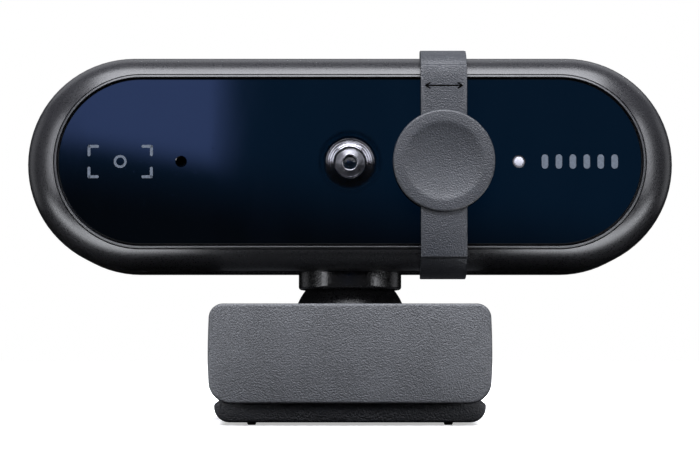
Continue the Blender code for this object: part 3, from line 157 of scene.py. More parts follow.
class NodeSheet:
    """The node tree of one finish, with its Principled shader."""

    def __init__(self, name: str) -> None:
        """Start a material with one Principled shader.

        Args:
            name: The material's name.
        """
        self.material = bpy.data.materials.new(name)
        self.material.use_nodes = True
        self.tree = self.material.node_tree
        self.shader = self.tree.nodes["Principled BSDF"]
        self._position: bpy.types.NodeSocket | None = None

    def node(self, kind: str, settings: dict | None = None, inputs: dict | None = None) -> bpy.types.Node:
        """Add a node.

        Args:
            kind: The node's type.
            settings: Its properties, set first.
            inputs: A number, colour, socket or Value for each of its sockets, by name or index.

        Returns:
            The node.
        """
        node = self.tree.nodes.new(kind)
        for key, value in (settings or {}).items():
            setattr(node, key, value)
        for key, value in (inputs or {}).items():
            self.feed(node.inputs[key], value)
        return node

    def feed(self, socket: bpy.types.NodeSocket, value: Feed) -> None:
        """Link a value to a socket, or set it there.

        Args:
            socket: The input socket.
            value: What it gets.
        """
        if isinstance(value, Value):
            self.tree.links.new(value.socket, socket)
        elif isinstance(value, bpy.types.NodeSocket):
            self.tree.links.new(value, socket)
        elif socket.type == "RGBA" and len(value) == 3:
            socket.default_value = (*value, 1.0)
        else:
            socket.default_value = value

    def dress(self, **sockets: Feed) -> None:
        """Feed the Principled shader's sockets, named with underscores for spaces."""
        for name, value in sockets.items():
            self.feed(self.shader.inputs[name.replace("_", " ")], value)

    @property
    def position(self) -> bpy.types.NodeSocket:
        """The place on the piece, in millimetres."""
        if self._position is None:
            place = self.node("ShaderNodeTexCoord").outputs["Object"]
            scaled = self.node("ShaderNodeVectorMath", {"operation": "SCALE"}, {0: place, "Scale": 1 / MM})
            self._position = scaled.outputs[0]
        return self._position

    def noise(self, size: float, detail: float = 2.0, stretch: Sequence[float] = (1, 1, 1)) -> Value:
        """Soft cloudy noise.

        Args:
            size: Size of its spots, in millimetres.
            detail: Octaves of finer noise.
            stretch: Scale along each axis, for streaks.

        Returns:
            A value from 0 to 1.
        """
        place = self.position
        if tuple(stretch) != (1, 1, 1):
            drawn = self.node("ShaderNodeVectorMath", {"operation": "MULTIPLY"}, {0: place, 1: stretch})
            place = drawn.outputs[0]
        node = self.node("ShaderNodeTexNoise", {}, {"Vector": place, "Scale": 1 / size, "Detail": detail})
        return Value(self, node.outputs[0])

    def along(self, axis: str) -> Value:
        """The place along one axis ("X", "Y" or "Z"), in millimetres."""
        return Value(self, self.node("ShaderNodeSeparateXYZ", {}, {0: self.position}).outputs[axis])

    def cells(self, size: float) -> Value:
        """Pebbled cells.

        Args:
            size: Size of a cell, in millimetres.

        Returns:
            The distance to each cell's middle.
        """
        settings = {"feature": "SMOOTH_F1"}
        inputs = {"Vector": self.position, "Scale": 1 / size, "Smoothness": 0.6}
        return Value(self, self.node("ShaderNodeTexVoronoi", settings, inputs).outputs["Distance"])

    def radius(self, centre: Sequence[float], plane: Sequence[float]) -> Value:
        """Distance from an axis.

        Args:
            centre: A point on the axis, in millimetres.
            plane: 1 for each direction that counts, and 0 for the axis's own.

        Returns:
            The distance in millimetres.
        """
        away = self.node("ShaderNodeVectorMath", {"operation": "SUBTRACT"}, {0: self.position, 1: centre})
        flat = self.node("ShaderNodeVectorMath", {"operation": "MULTIPLY"}, {0: away.outputs[0], 1: plane})
        length = self.node("ShaderNodeVectorMath", {"operation": "LENGTH"}, {0: flat.outputs[0]})
        return Value(self, length.outputs["Value"])

    def mix(self, share: Feed, first: Feed, second: Feed) -> bpy.types.NodeSocket:
        """Mix two colours.

        Args:
            share: How much of the second colour shows, from 0 to 1.
            first: The colour at 0.
            second: The colour at 1.

        Returns:
            The mixed colour.
        """
        node = self.node("ShaderNodeMix", {"data_type": "RGBA"}, {0: share, 6: first, 7: second})
        return node.outputs[2]

    def bump(self, height: Value, depth: float, strength: float = 1.0) -> bpy.types.NodeSocket:
        """Turn a height into a surface normal.

        Args:
            height: The height, from 0 to 1.
            depth: How deep 1 is, in millimetres.
            strength: Share of the effect.

        Returns:
            The normal.
        """
        inputs = {"Height": height, "Distance": depth * MM, "Strength": strength}
        return self.node("ShaderNodeBump", {}, inputs).outputs[0]

    def worn_edges(self) -> Value:
        """How far a spot lies on an outward edge, from 0 to 1."""
        return Value(self, self.node("ShaderNodeNewGeometry").outputs["Pointiness"]).ease(0.515, 0.56)


# ---- Finishes ----

@dataclass(frozen=True)
class Finish:
    """A material, made once and shared by the pieces that have it."""

    name: str

    def material(self) -> bpy.types.Material:
        """Return the material, painting it the first time."""
        made = bpy.data.materials.get(self.name)
        if made is None:
            sheet = NodeSheet(self.name)
            self.paint(sheet)
            made = sheet.material
        return made

    def paint(self, sheet: NodeSheet) -> None:
        """Build the finish on a node sheet."""
        raise NotImplementedError


@dataclass(frozen=True)
class MouldedPlastic(Finish):
    """Moulded plastic, from coarse spark-eroded grain to a fine satin skin."""

    colour: Colour
    roughness: float
    grain: float
    depth: float
    variation: float = 0.12
    specular: float = 0.5
    polish: float = 0.08

    def paint(self, sheet: NodeSheet) -> None:
        """Grain, slight mottling, and edges that handling has polished."""
        pebbles = sheet.cells(self.grain)
        fine = sheet.noise(self.grain, 3.0)
        mottle = sheet.noise(7.0, 3.0)
        edge = sheet.worn_edges()
        height = pebbles * 0.3 + fine * 0.7
        tone = mottle * 0.25 + fine * 0.75
        dark = tuple(c * (1 - self.variation) for c in self.colour)
        light = tuple(c * (1 + self.variation) for c in self.colour)
        worn = tuple(c * 1.35 + 0.004 for c in self.colour)
        colour = sheet.mix(edge * 0.5, sheet.mix(tone.ease(0.3, 0.7), dark, light), worn)
        roughness = self.roughness + (fine - 0.5) * 0.28 + (mottle - 0.5) * 0.06 - edge * self.polish
        sheet.dress(Base_Color=colour, Roughness=roughness, Specular_IOR_Level=self.specular,
                    Normal=sheet.bump(height, self.depth))


@dataclass(frozen=True)
class BackPrintedGlass(Finish):
    """Polished glass printed dark on its back, with a clear spot over the lens."""

    tint: Colour
    centre: tuple[float, float, float]
    clear_radius: float
    fade: float
    veil: float
    widening: float = 0.75

    def paint(self, sheet: NodeSheet) -> None:
        """A dark pane, see-through over the lens, with faint smears from cleaning."""
        ahead = self.centre[1] - sheet.along("Y")
        away = sheet.radius(self.centre, (1, 0, 1)) - ahead * self.widening
        printed = away.ease(self.clear_radius - self.fade, self.clear_radius)
        smears = sheet.noise(9.0, 4.0, (1.0, 1.0, 0.35))
        specks = sheet.noise(0.5, 1.0)
        deep = tuple(c * 0.7 for c in self.tint)
        colour = sheet.mix(smears.ease(0.35, 0.7), self.tint, deep)
        roughness = 0.035 + smears.ease(0.45, 0.8) * 0.035 + specks.ease(0.68, 0.8) * 0.04
        sheet.dress(Base_Color=colour, Roughness=roughness, Alpha=self.veil + printed * (1 - self.veil),
                    Specular_IOR_Level=0.5, Normal=sheet.bump(smears, 0.004, 0.4))


@dataclass(frozen=True)
class TurnedBlack(Finish):
    """Black lens mount with fine rings left by turning."""

    colour: Colour
    centre: tuple[float, float, float]
    pitch: float
    roughness: float
    specular: float
    metallic: float

    def paint(self, sheet: NodeSheet) -> None:
        """Rings about the lens's axis."""
        away = sheet.radius(self.centre, (1, 0, 1))
        rings = (away * (math.tau / self.pitch)).sine() * 0.5 + 0.5
        dust = sheet.noise(0.4, 2.0)
        colour = sheet.mix(rings * 0.5 + dust * 0.5, tuple(c * 0.7 for c in self.colour), self.colour)
        sheet.dress(Base_Color=colour, Roughness=self.roughness + (dust - 0.5) * 0.12,
                    Metallic=self.metallic, Specular_IOR_Level=self.specular, Normal=sheet.bump(rings, 0.008))


@dataclass(frozen=True)
class CoatedLens(Finish):
    """Lens glass with an anti-reflection coating."""

    glass: Colour
    coating: Colour
    centre: tuple[float, float, float]
    reach: float

    def paint(self, sheet: NodeSheet) -> None:
        """A dark middle that turns to the coating's colour towards its rim."""
        away = sheet.radius(self.centre, (1, 0, 1))
        cloud = sheet.noise(1.2, 2.0)
        colour = sheet.mix(away.ease(self.reach * 0.2, self.reach), self.glass, self.coating)
        sheet.dress(Base_Color=colour, Roughness=0.03 + cloud * 0.04, Specular_IOR_Level=0.3,
                    Normal=sheet.bump(cloud, 0.002, 0.3))


@dataclass(frozen=True)
class Rubber(Finish):
    """Matt moulded rubber."""

    colour: Colour
    roughness: float = 0.82

    def paint(self, sheet: NodeSheet) -> None:
        """Fine pits, and a dusty bloom."""
        pits = sheet.noise(0.22, 3.0)
        bloom = sheet.noise(3.5, 3.0)
        dusty = tuple(c * 1.6 + 0.006 for c in self.colour)
        sheet.dress(Base_Color=sheet.mix(bloom.ease(0.45, 0.8) * 0.6, self.colour, dusty),
                    Roughness=self.roughness + (pits - 0.5) * 0.15, Specular_IOR_Level=0.35,
                    Normal=sheet.bump(pits, 0.03, 0.8))


@dataclass(frozen=True)
class DrawnSteel(Finish):
    """Plated steel with faint drawing marks."""

    colour: Colour = (0.56, 0.57, 0.6)
    roughness: float = 0.3

    def paint(self, sheet: NodeSheet) -> None:
        """Streaks, and darker spots where the plating is thin."""
        streaks = sheet.noise(0.25, 3.0, (0.15, 1.0, 1.0))
        spots = sheet.noise(1.4, 3.0)
        dull = tuple(c * 0.62 for c in self.colour)
        sheet.dress(Base_Color=sheet.mix(spots.ease(0.5, 0.8) * 0.7, self.colour, dull), Metallic=1.0,
                    Roughness=self.roughness + (streaks - 0.5) * 0.2 + spots.ease(0.5, 0.8) * 0.15,
                    Normal=sheet.bump(streaks, 0.008, 0.6))


@dataclass(frozen=True)
class CircuitBoard(Finish):
    """Solder mask over copper tracks and glass weave."""

    mask: Colour = (0.012, 0.10, 0.045)
    track: Colour = (0.03, 0.19, 0.085)

    def paint(self, sheet: NodeSheet) -> None:
        """Bands of tracks that run along and up the board, over a woven base."""
        weave = sheet.noise(0.3, 1.0)
        settings = {"wave_type": "BANDS", "bands_direction": "DIAGONAL"}
        bands = sheet.node("ShaderNodeTexWave", settings,
                           {"Vector": sheet.position, "Scale": 0.55, "Distortion": 3.5, "Detail": 1.0})
        tracks = Value(sheet, bands.outputs["Fac"]).ease(0.55, 0.62)
        sheet.dress(Base_Color=sheet.mix(tracks, self.mask, self.track), Roughness=0.34 + weave * 0.14,
                    Normal=sheet.bump(tracks * 0.8 + weave * 0.2, 0.03))


@dataclass(frozen=True)
class LitDiffuser(Finish):
    """Milky plastic that passes a lamp's light."""

    colour: Colour = (0.40, 0.40, 0.455)
    glow: float = 0.35

    def paint(self, sheet: NodeSheet) -> None:
        """White with a faint cloudiness, glowing a little."""
        cloud = sheet.noise(0.6, 2.0)
        white = sheet.mix(cloud, tuple(c * 0.88 for c in self.colour), self.colour)
        sheet.dress(Base_Color=white, Emission_Color=white, Emission_Strength=self.glow,
                    Roughness=0.28 + cloud * 0.12, Normal=sheet.bump(cloud, 0.01, 0.4))


@dataclass(frozen=True)
class PrintedInk(Finish):
    """Screen-printed ink with a slightly uneven coat; its near-black copy fills the cover's engraved arrow as painted
    shade.
    """

    colour: Colour
    specular: float = 0.5

    def paint(self, sheet: NodeSheet) -> None:
        """Thin and thick spots of ink."""
        coat = sheet.noise(0.35, 3.0)
        thin = tuple(c * 0.72 for c in self.colour)
        sheet.dress(Base_Color=sheet.mix(coat.ease(0.35, 0.65), thin, self.colour), Roughness=0.42 + coat * 0.16,
                    Specular_IOR_Level=self.specular, Normal=sheet.bump(coat, 0.005, 0.5))


# ---- Outlines and meshes ----

def arc(centre: Point, radii: Point, start: float, end: float, steps: int) -> list[Point]:
    """Points along an elliptical arc.

    Args:
        centre: Its centre.
        radii: Its radius along each axis.
        start: First angle in radians, from the first axis.
        end: Last angle.
        steps: Number of spans.

    Returns:
        steps + 1 points.
    """
    angles = [start + (end - start) * i / steps for i in range(steps + 1)]
    return [(centre[0] + radii[0] * math.cos(a), centre[1] + radii[1] * math.sin(a)) for a in angles]


def stadium(straight: float, radius: float, steps: int = 40) -> list[Point]:
    """Outline with two half-round ends.

    Args:
        straight: Half length of its straight sides.
        radius: Radius of its ends.
        steps: Spans round each end.

    Returns:
        Points anticlockwise.
    """
    right = arc((straight, 0.0), (radius, radius), -math.pi / 2, math.pi / 2, steps)
    left = arc((-straight, 0.0), (radius, radius), math.pi / 2, 3 * math.pi / 2, steps)
    return right + left


def rounded(corners: Sequence[tuple[float, float, float]], steps: int) -> list[Point]:
    """Outline through right-angled corners.

    Args:
        corners: (x, y, radius) of each corner, anticlockwise.
        steps: Spans round each corner.

    Returns:
        Points anticlockwise.
    """
    points: list[Point] = []
    for i, (x, y, radius) in enumerate(corners):
        corner = Vector((x, y))
        before = (Vector(corners[i - 1][:2]) - corner).normalized()
        after = (Vector(corners[(i + 1) % len(corners)][:2]) - corner).normalized()
        if radius == 0:
            points.append((x, y))
            continue
        centre = corner + (before + after) * radius
        start = math.atan2(-after.y, -after.x)
        points += arc(tuple(centre), (radius, radius), start, start + math.pi / 2, steps)
    return points


def rounded_box(width: float, height: float, radius: float) -> list[Point]:
    """Outline of a rectangle with round corners about its own centre."""
    x, y = width / 2, height / 2
    return rounded([(-x, -y, radius), (x, -y, radius), (x, y, radius), (-x, y, radius)], 6)


class Facing(Enum):
    """Which way a flat outline's own axes and its thickness lie."""

    FRONT = Matrix(((1, 0, 0, 0), (0, 0, -1, 0), (0, 1, 0, 0), (0, 0, 0, 1)))
    BACK = Matrix(((-1, 0, 0, 0), (0, 0, 1, 0), (0, 1, 0, 0), (0, 0, 0, 1)))
    RIGHT = Matrix(((0, 0, 1, 0), (1, 0, 0, 0), (0, 1, 0, 0), (0, 0, 0, 1)))
    UP = Matrix.Identity(4)


class Shape:
    """A mesh being made; its methods return the shape, so that they can follow each other."""

    def __init__(self, name: str, bm: bmesh.types.BMesh) -> None:
        """Close a bmesh into an object.

        Args:
            name: The object's name.
            bm: Its mesh, which is freed.
        """
        bmesh.ops.remove_doubles(bm, verts=bm.verts, dist=1e-7)
        bmesh.ops.recalc_face_normals(bm, faces=bm.faces)
        mesh = bpy.data.meshes.new(name)
        bm.to_mesh(mesh)
        bm.free()
        self.piece = bpy.data.objects.new(name, mesh)
        bpy.context.scene.collection.objects.link(self.piece)

    @classmethod
    def skin(cls, name: str, rows: Sequence[Sequence[Vector]], closed: bool = False) -> "Shape":
        """Skin a stack of closed rows that have the same number of points.

        Args:
            name: The object's name.
            rows: The rows; a row of one point is a pole.
            closed: True joins the last row to the first, False caps both ends.

        Returns:
            The shape.
        """
        bm = bmesh.new()
        made = [[bm.verts.new(p) for p in row] for row in rows]
        spans = list(zip(made, made[1:] + made[:1])) if closed else list(zip(made, made[1:]))
        for near, far in spans:
            for i in range(max(len(near), len(far))):
                if len(near) == 1:
                    bm.faces.new((near[0], far[i], far[i - 1]))
                elif len(far) == 1:
                    bm.faces.new((near[i - 1], near[i], far[0]))
                else:
                    bm.faces.new((near[i - 1], near[i], far[i], far[i - 1]))
        if not closed:
            for row in (made[0], made[-1]):
                if len(row) > 2:
                    bm.faces.new(row)
        return cls(name, bm)

    @classmethod
    def turned(cls, name: str, profile: Sequence[Point], facing: Facing, at: Sequence[float],
               steps: int = 96) -> "Shape":
        """Turn a (radius, height) profile about its axis.

        Args:
            name: The object's name.
            profile: The points; a profile that doesn't end on the axis is closed into a ring.
            facing: Where the axis points.
            at: A point on the axis, where height is 0.
            steps: Spans round the turn.

        Returns:
            The shape.
        """
        move = Matrix.Translation(at) @ facing.value
        rows = []
        for radius, height in profile:
            circle = [(0, 0)] if radius < 1e-7 else arc((0, 0), (radius, radius), 0, math.tau, steps)[:-1]
            rows.append([move @ Vector((*p, height)) for p in circle])
        is_ring = len(rows[0]) > 1 and len(rows[-1]) > 1
        return cls.skin(name, rows, closed=is_ring)

    @classmethod
    def rod(cls, name: str, radius: float, ends: Point, facing: Facing, at: Sequence[float], steps: int) -> "Shape":
        """A plain round rod.

        Args:
            name: The object's name.
            radius: Its radius.
            ends: Heights of its two ends along the axis.
            facing: Where the axis points.
            at: A point on the axis, where height is 0.
            steps: Spans round it.

        Returns:
            The shape.
        """
        first, last = ends
        return cls.turned(name, [(0, first), (radius, first), (radius, last), (0, last)], facing, at, steps)

    @classmethod
    def plate(cls, name: str, outline: Sequence[Point], thickness: float, facing: Facing,
              at: Sequence[float]) -> "Shape":
        """Thicken a flat outline, half to each side of its plane.

        Args:
            name: The object's name.
            outline: The outline's points.
            thickness: The plate's thickness.
            facing: How the plate lies.
            at: Where the outline's own origin goes.

        Returns:
            The shape.
        """
        move = Matrix.Translation(at) @ facing.value
        half = thickness / 2
        rows = [[move @ Vector((x, y, side * half)) for x, y in outline] for side in (1, -1)]
        return cls.skin(name, rows)

    @classmethod
    def block(cls, name: str, low: Sequence[float], high: Sequence[float]) -> "Shape":
        """A box between two corners."""
        size = Vector(high) - Vector(low)
        bm = bmesh.new()
        place = Matrix.Translation((Vector(low) + Vector(high)) / 2) @ Matrix.Diagonal((*size, 1.0))
        bmesh.ops.create_cube(bm, size=1.0, matrix=place)
        return cls(name, bm)

    @classmethod
    def gathered(cls, name: str, shapes: Sequence["Shape"]) -> "Shape":
        """Put several separate shapes into one piece, and use them up."""
        bm = bmesh.new()
        for shape in shapes:
            bm.from_mesh(shape.piece.data)
            bpy.data.objects.remove(shape.piece, do_unlink=True)
        return cls(name, bm)

    def _apply(self, modifier: bpy.types.Modifier) -> "Shape":
        """Make the piece's modifiers part of its mesh."""
        graph = bpy.context.evaluated_depsgraph_get()
        mesh = bpy.data.meshes.new_from_object(self.piece.evaluated_get(graph))
        self.piece.modifiers.remove(modifier)
        self.piece.data = mesh
        mesh.name = self.piece.name
        return self

    def _boolean(self, tool: "Shape", operation: str) -> "Shape":
        """Combine the piece with a tool, which is used up."""
        modifier = self.piece.modifiers.new(operation, "BOOLEAN")
        modifier.operation = operation
        modifier.solver = "EXACT"
        modifier.object = tool.piece
        self._apply(modifier)
        bpy.data.objects.remove(tool.piece, do_unlink=True)
        return self

    def cut(self, *tools: "Shape") -> "Shape":
        """Cut tools out of the piece."""
        for tool in tools:
            self._boolean(tool, "DIFFERENCE")
        return self

    def join(self, *tools: "Shape") -> "Shape":
        """Join tools to the piece."""
        for tool in tools:
            self._boolean(tool, "UNION")
        return self

    def soften(self, width: float, segments: int = 3, angle: float = 40.0) -> "Shape":
        """Round the piece's sharp edges.

        Args:
            width: Width of the rounding.
            segments: Spans across it.
            angle: Only edges sharper than this, in degrees.

        Returns:
            The shape.
        """
        bevel = self.piece.modifiers.new("Soften", "BEVEL")
        bevel.width = width
        bevel.segments = segments
        bevel.limit_method = "ANGLE"
        bevel.angle_limit = math.radians(angle)
        bevel.use_clamp_overlap = True
        return self._apply(bevel)

    def smooth(self, angle: float = 32.0) -> "Shape":
        """Shade round stretches smooth and keep edges sharper than an angle."""
        self.piece.data.shade_smooth()
        self.piece.data.set_sharp_from_angle(angle=math.radians(angle))
        return self


@dataclass(frozen=True)
class Box:
    """A box along the axes."""

    low: Vector
    high: Vector

    @property
    def mid(self) -> Vector:
        """Its centre."""
        return (self.low + self.high) / 2

    @property
    def half(self) -> Vector:
        """Half of its size along each axis."""
        return (self.high - self.low) / 2


class Webcam:
    """What every sub-assembly needs: the frame's sizes, and ways to dress and place its pieces."""

    def __init__(self) -> None:
        """Read the tilt joint, the head's lean and the housing's widest section from the frame."""
        self.tilt = next(joint for joint in frame["joints"] if joint["name"] == "tilt")
        self.ball = Vector(self.tilt["pos_m"])
        pane = frame["nodes"]["front_window"].data
        face = max(pane.polygons, key=lambda p: p.area * (p.normal.y < -0.5))
        self.lean = math.atan2(face.normal.z, -face.normal.y)
        turn = Matrix.Rotation(-self.lean, 4, "X")
        self.head_matrix = Matrix.Translation(self.ball) @ turn @ Matrix.Translation(-self.ball)
        points = self._level_points("body_housing")
        half = max(p.x for p in points)
        self.widest = min(p.y for p in points if p.x > half - 0.01 * MM)

    def _level_points(self, node: str) -> list[Vector]:
        """Vertices of a CAD node of the head, with the head level."""
        level = self.head_matrix.inverted()
        return [level @ v.co for v in frame["nodes"][node].data.vertices]

    def level_box(self, node: str) -> Box:
        """Box round a CAD node of the head, with the head level."""
        points = self._level_points(node)
        return Box(*[Vector([pick([p[i] for p in points]) for i in range(3)]) for pick in (min, max)])

    def box(self, node: str) -> Box:
        """Box round a CAD node in the world."""
        return Box(*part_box(node))

    def fit(self, shape: Shape, body: str, slot: str, finish: Finish, *replaced: str) -> None:
        """Dress a shape and let it ride on its body.

        Args:
            shape: The piece.
            body: The CAD body that it moves with.
            slot: The record's material slot; not used.
            finish: Its finish.
            replaced: The CAD nodes that it stands for.
        """
        piece = shape.piece
        piece.data.materials.clear()
        piece.data.materials.append(finish.material())
        if body in ("head", "cover"):
            piece.matrix_world = self.head_matrix
        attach(piece, body)
        if replaced:
            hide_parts(*replaced)
        LOG.info("%s: %d faces, rides on %s", piece.name, len(piece.data.polygons), body)

    def repaint(self, finish: Finish, *nodes: str) -> None:
        """Give CAD nodes that stay a finish of their own."""
        for node in nodes:
            for slot in frame["nodes"][node].material_slots:
                slot.material = finish.material()
            LOG.info("%s: repainted with %s", node, finish.name)


# ---- Camera head ----

@dataclass
class HeadShell:
    """The one-piece housing: rim, grooves for the sliding cover, vents, screw recesses and its neck opening."""

    cam: Webcam
    finish: Finish
    seam: float = 0.14 * MM
    rim_steps: int = 14
    rear_steps: int = 12
    inner_steps: int = 4
    rear_depth: float = 6.0 * MM
    rear_side: float = 5.0 * MM
    rear_end: float = 8.0 * MM
    wall: float = 1.6 * MM
    groove_margin: float = 1.0 * MM
    vent_size: Point = (1.1 * MM, 9.0 * MM)
    vent_pitch: float = 2.6 * MM
    vent_first: float = 12.0 * MM
    vents: int = 5
    boss_radius: float = 2.8 * MM
    boss_length: float = 16.0 * MM
    recess_radius: float = 1.9 * MM
    recess_flare: float = 0.25 * MM
    head_height: float = 1.5 * MM
    shank_radius: float = 1.1 * MM
    gland_bore: float = 2.8 * MM

    def __post_init__(self) -> None:
        """Measure the housing, its mouth and its screws."""
        self.box, self.mouth = self.cam.level_box("body_housing"), self.cam.level_box("front_bezel")
        self.screws = [self.cam.level_box(f"housing_screw_{i}") for i in range(1, 5)]
        self.half, self.tall = self.box.high.x, self.box.half.z

    def build(self) -> None:
        """Loft the shell, add its posts, cut its openings and dress it."""
        shell = self._skin().join(*self._bosses()).cut(*self._openings()).smooth(30.0)
        self.cam.fit(shell, "head", "housing_black", self.finish, "body_housing")

    def _rows(self) -> list[list[Vector]]:
        """Rows round the shell: outside from the rim to the back, then inside from the back to the mouth."""
        half, tall, back = self.half, self.tall, self.box.high.y
        mouth_end, mouth_side = self.mouth.high.x + self.seam, self.mouth.half.z + self.seam
        flat = 1 - math.sin(RIM_START)
        end, side = (half - mouth_end) / flat, (tall - mouth_side) / flat
        depth = (self.cam.widest - self.box.low.y) / math.cos(RIM_START)
        rings = []
        for i in range(self.rim_steps + 1):
            lean = RIM_START + (math.pi / 2 - RIM_START) * i / self.rim_steps
            shrink = 1 - math.sin(lean)
            rings.append((half - end * shrink, tall - side * shrink, self.cam.widest - depth * math.cos(lean)))
        for i in range(self.rear_steps + 1):
            turn = math.pi / 2 * i / self.rear_steps
            shrink = 1 - math.cos(turn)
            rings.append((half - self.rear_end * shrink, tall - self.rear_side * shrink,
                          back - self.rear_depth * (1 - math.sin(turn))))
        for i in range(self.inner_steps, -1, -1):
            turn = math.pi / 2 * i / self.inner_steps
            shrink = 1 - math.cos(turn)
            rings.append((half - self.wall - (self.rear_end - self.wall / 2) * shrink,
                          tall - self.wall - (self.rear_side - self.wall / 2) * shrink,
                          back - self.rear_depth + (self.rear_depth - self.wall) * math.sin(turn)))
        rings += [(half - self.wall, tall - self.wall, self.mouth.high.y), (mouth_end, mouth_side, self.mouth.high.y)]
        return [[Vector((x, y, self.box.mid.z + z)) for x, z in stadium(length - radius, radius)]
                for length, radius, y in rings]

    def _skin(self) -> Shape:
        """Skin the rows, with one cap outside and one inside at the back."""
        bm = bmesh.new()
        rows = [[bm.verts.new(p) for p in row] for row in self._rows()]
        back = rows[self.rim_steps + self.rear_steps + 1]
        for near, far in zip([rows[-1]] + rows, rows):
            if near is back:
                bm.faces.new(near)
                bm.faces.new(far)
                continue
            for i in range(len(near)):
                bm.faces.new((near[i - 1], near[i], far[i], far[i - 1]))
        return Shape("head_shell", bm)

    def _bosses(self) -> list[Shape]:
        """Posts inside the back that the housing screws pass through."""
        end = self.box.high.y - self.wall * 0.7
        return [Shape.rod("boss", self.boss_radius, (self.boss_length, 0), Facing.FRONT, (s.mid.x, end, s.mid.z), 40)
                for s in self.screws]

    def _openings(self) -> list[Shape]:
        """Cutters for the vents, screw recesses, grommet hole, cover grooves and neck opening."""
        tools = []
        back, mid, wall = self.box.high.y, self.box.mid.z, self.wall
        slot = rounded_box(*self.vent_size, self.vent_size[0] * 0.48)
        for i in range(self.vents):
            for way in (-1, 1):
                at = (way * (self.vent_first + i * self.vent_pitch), back, mid)
                tools.append(Shape.plate("vent", slot, 4 * wall, Facing.FRONT, at))
        for screw in self.screws:
            depth = back - screw.high.y + self.head_height
            radius, flare, at = self.recess_radius, self.recess_flare, (screw.mid.x, back, screw.mid.z)
            profile = [(0, depth), (radius, depth), (radius, flare), (radius + 2 * flare, -flare), (0, -flare)]
            tools.append(Shape.turned("recess", profile, Facing.FRONT, at, 40))
            tools.append(Shape.rod("shank_hole", self.shank_radius, (self.boss_length * 2, 0), Facing.FRONT, at, 24))
        tools.append(Shape.rod("gland_hole", self.gland_bore, (3 * wall, -wall), Facing.FRONT, (0, back, mid), 48))
        width = HOOK_LENGTH + 2 * GAP
        outline = rounded_box(2 * (self.half - self.tall - self.groove_margin), width, width * 0.45)
        for way in (-1, 1):
            at = (0, self.cam.widest + HOOK_LENGTH / 2, mid + way * self.tall)
            tools.append(Shape.plate("groove", outline, 2 * GROOVE_DEPTH, Facing.UP, at))
        radius = self.cam.level_box("swivel_collar").half.y + GAP
        tools.append(Shape.rod("neck_hole", radius, (3 * wall, -wall), Facing.UP, (0, 0, self.box.low.z), 96))
        return tools


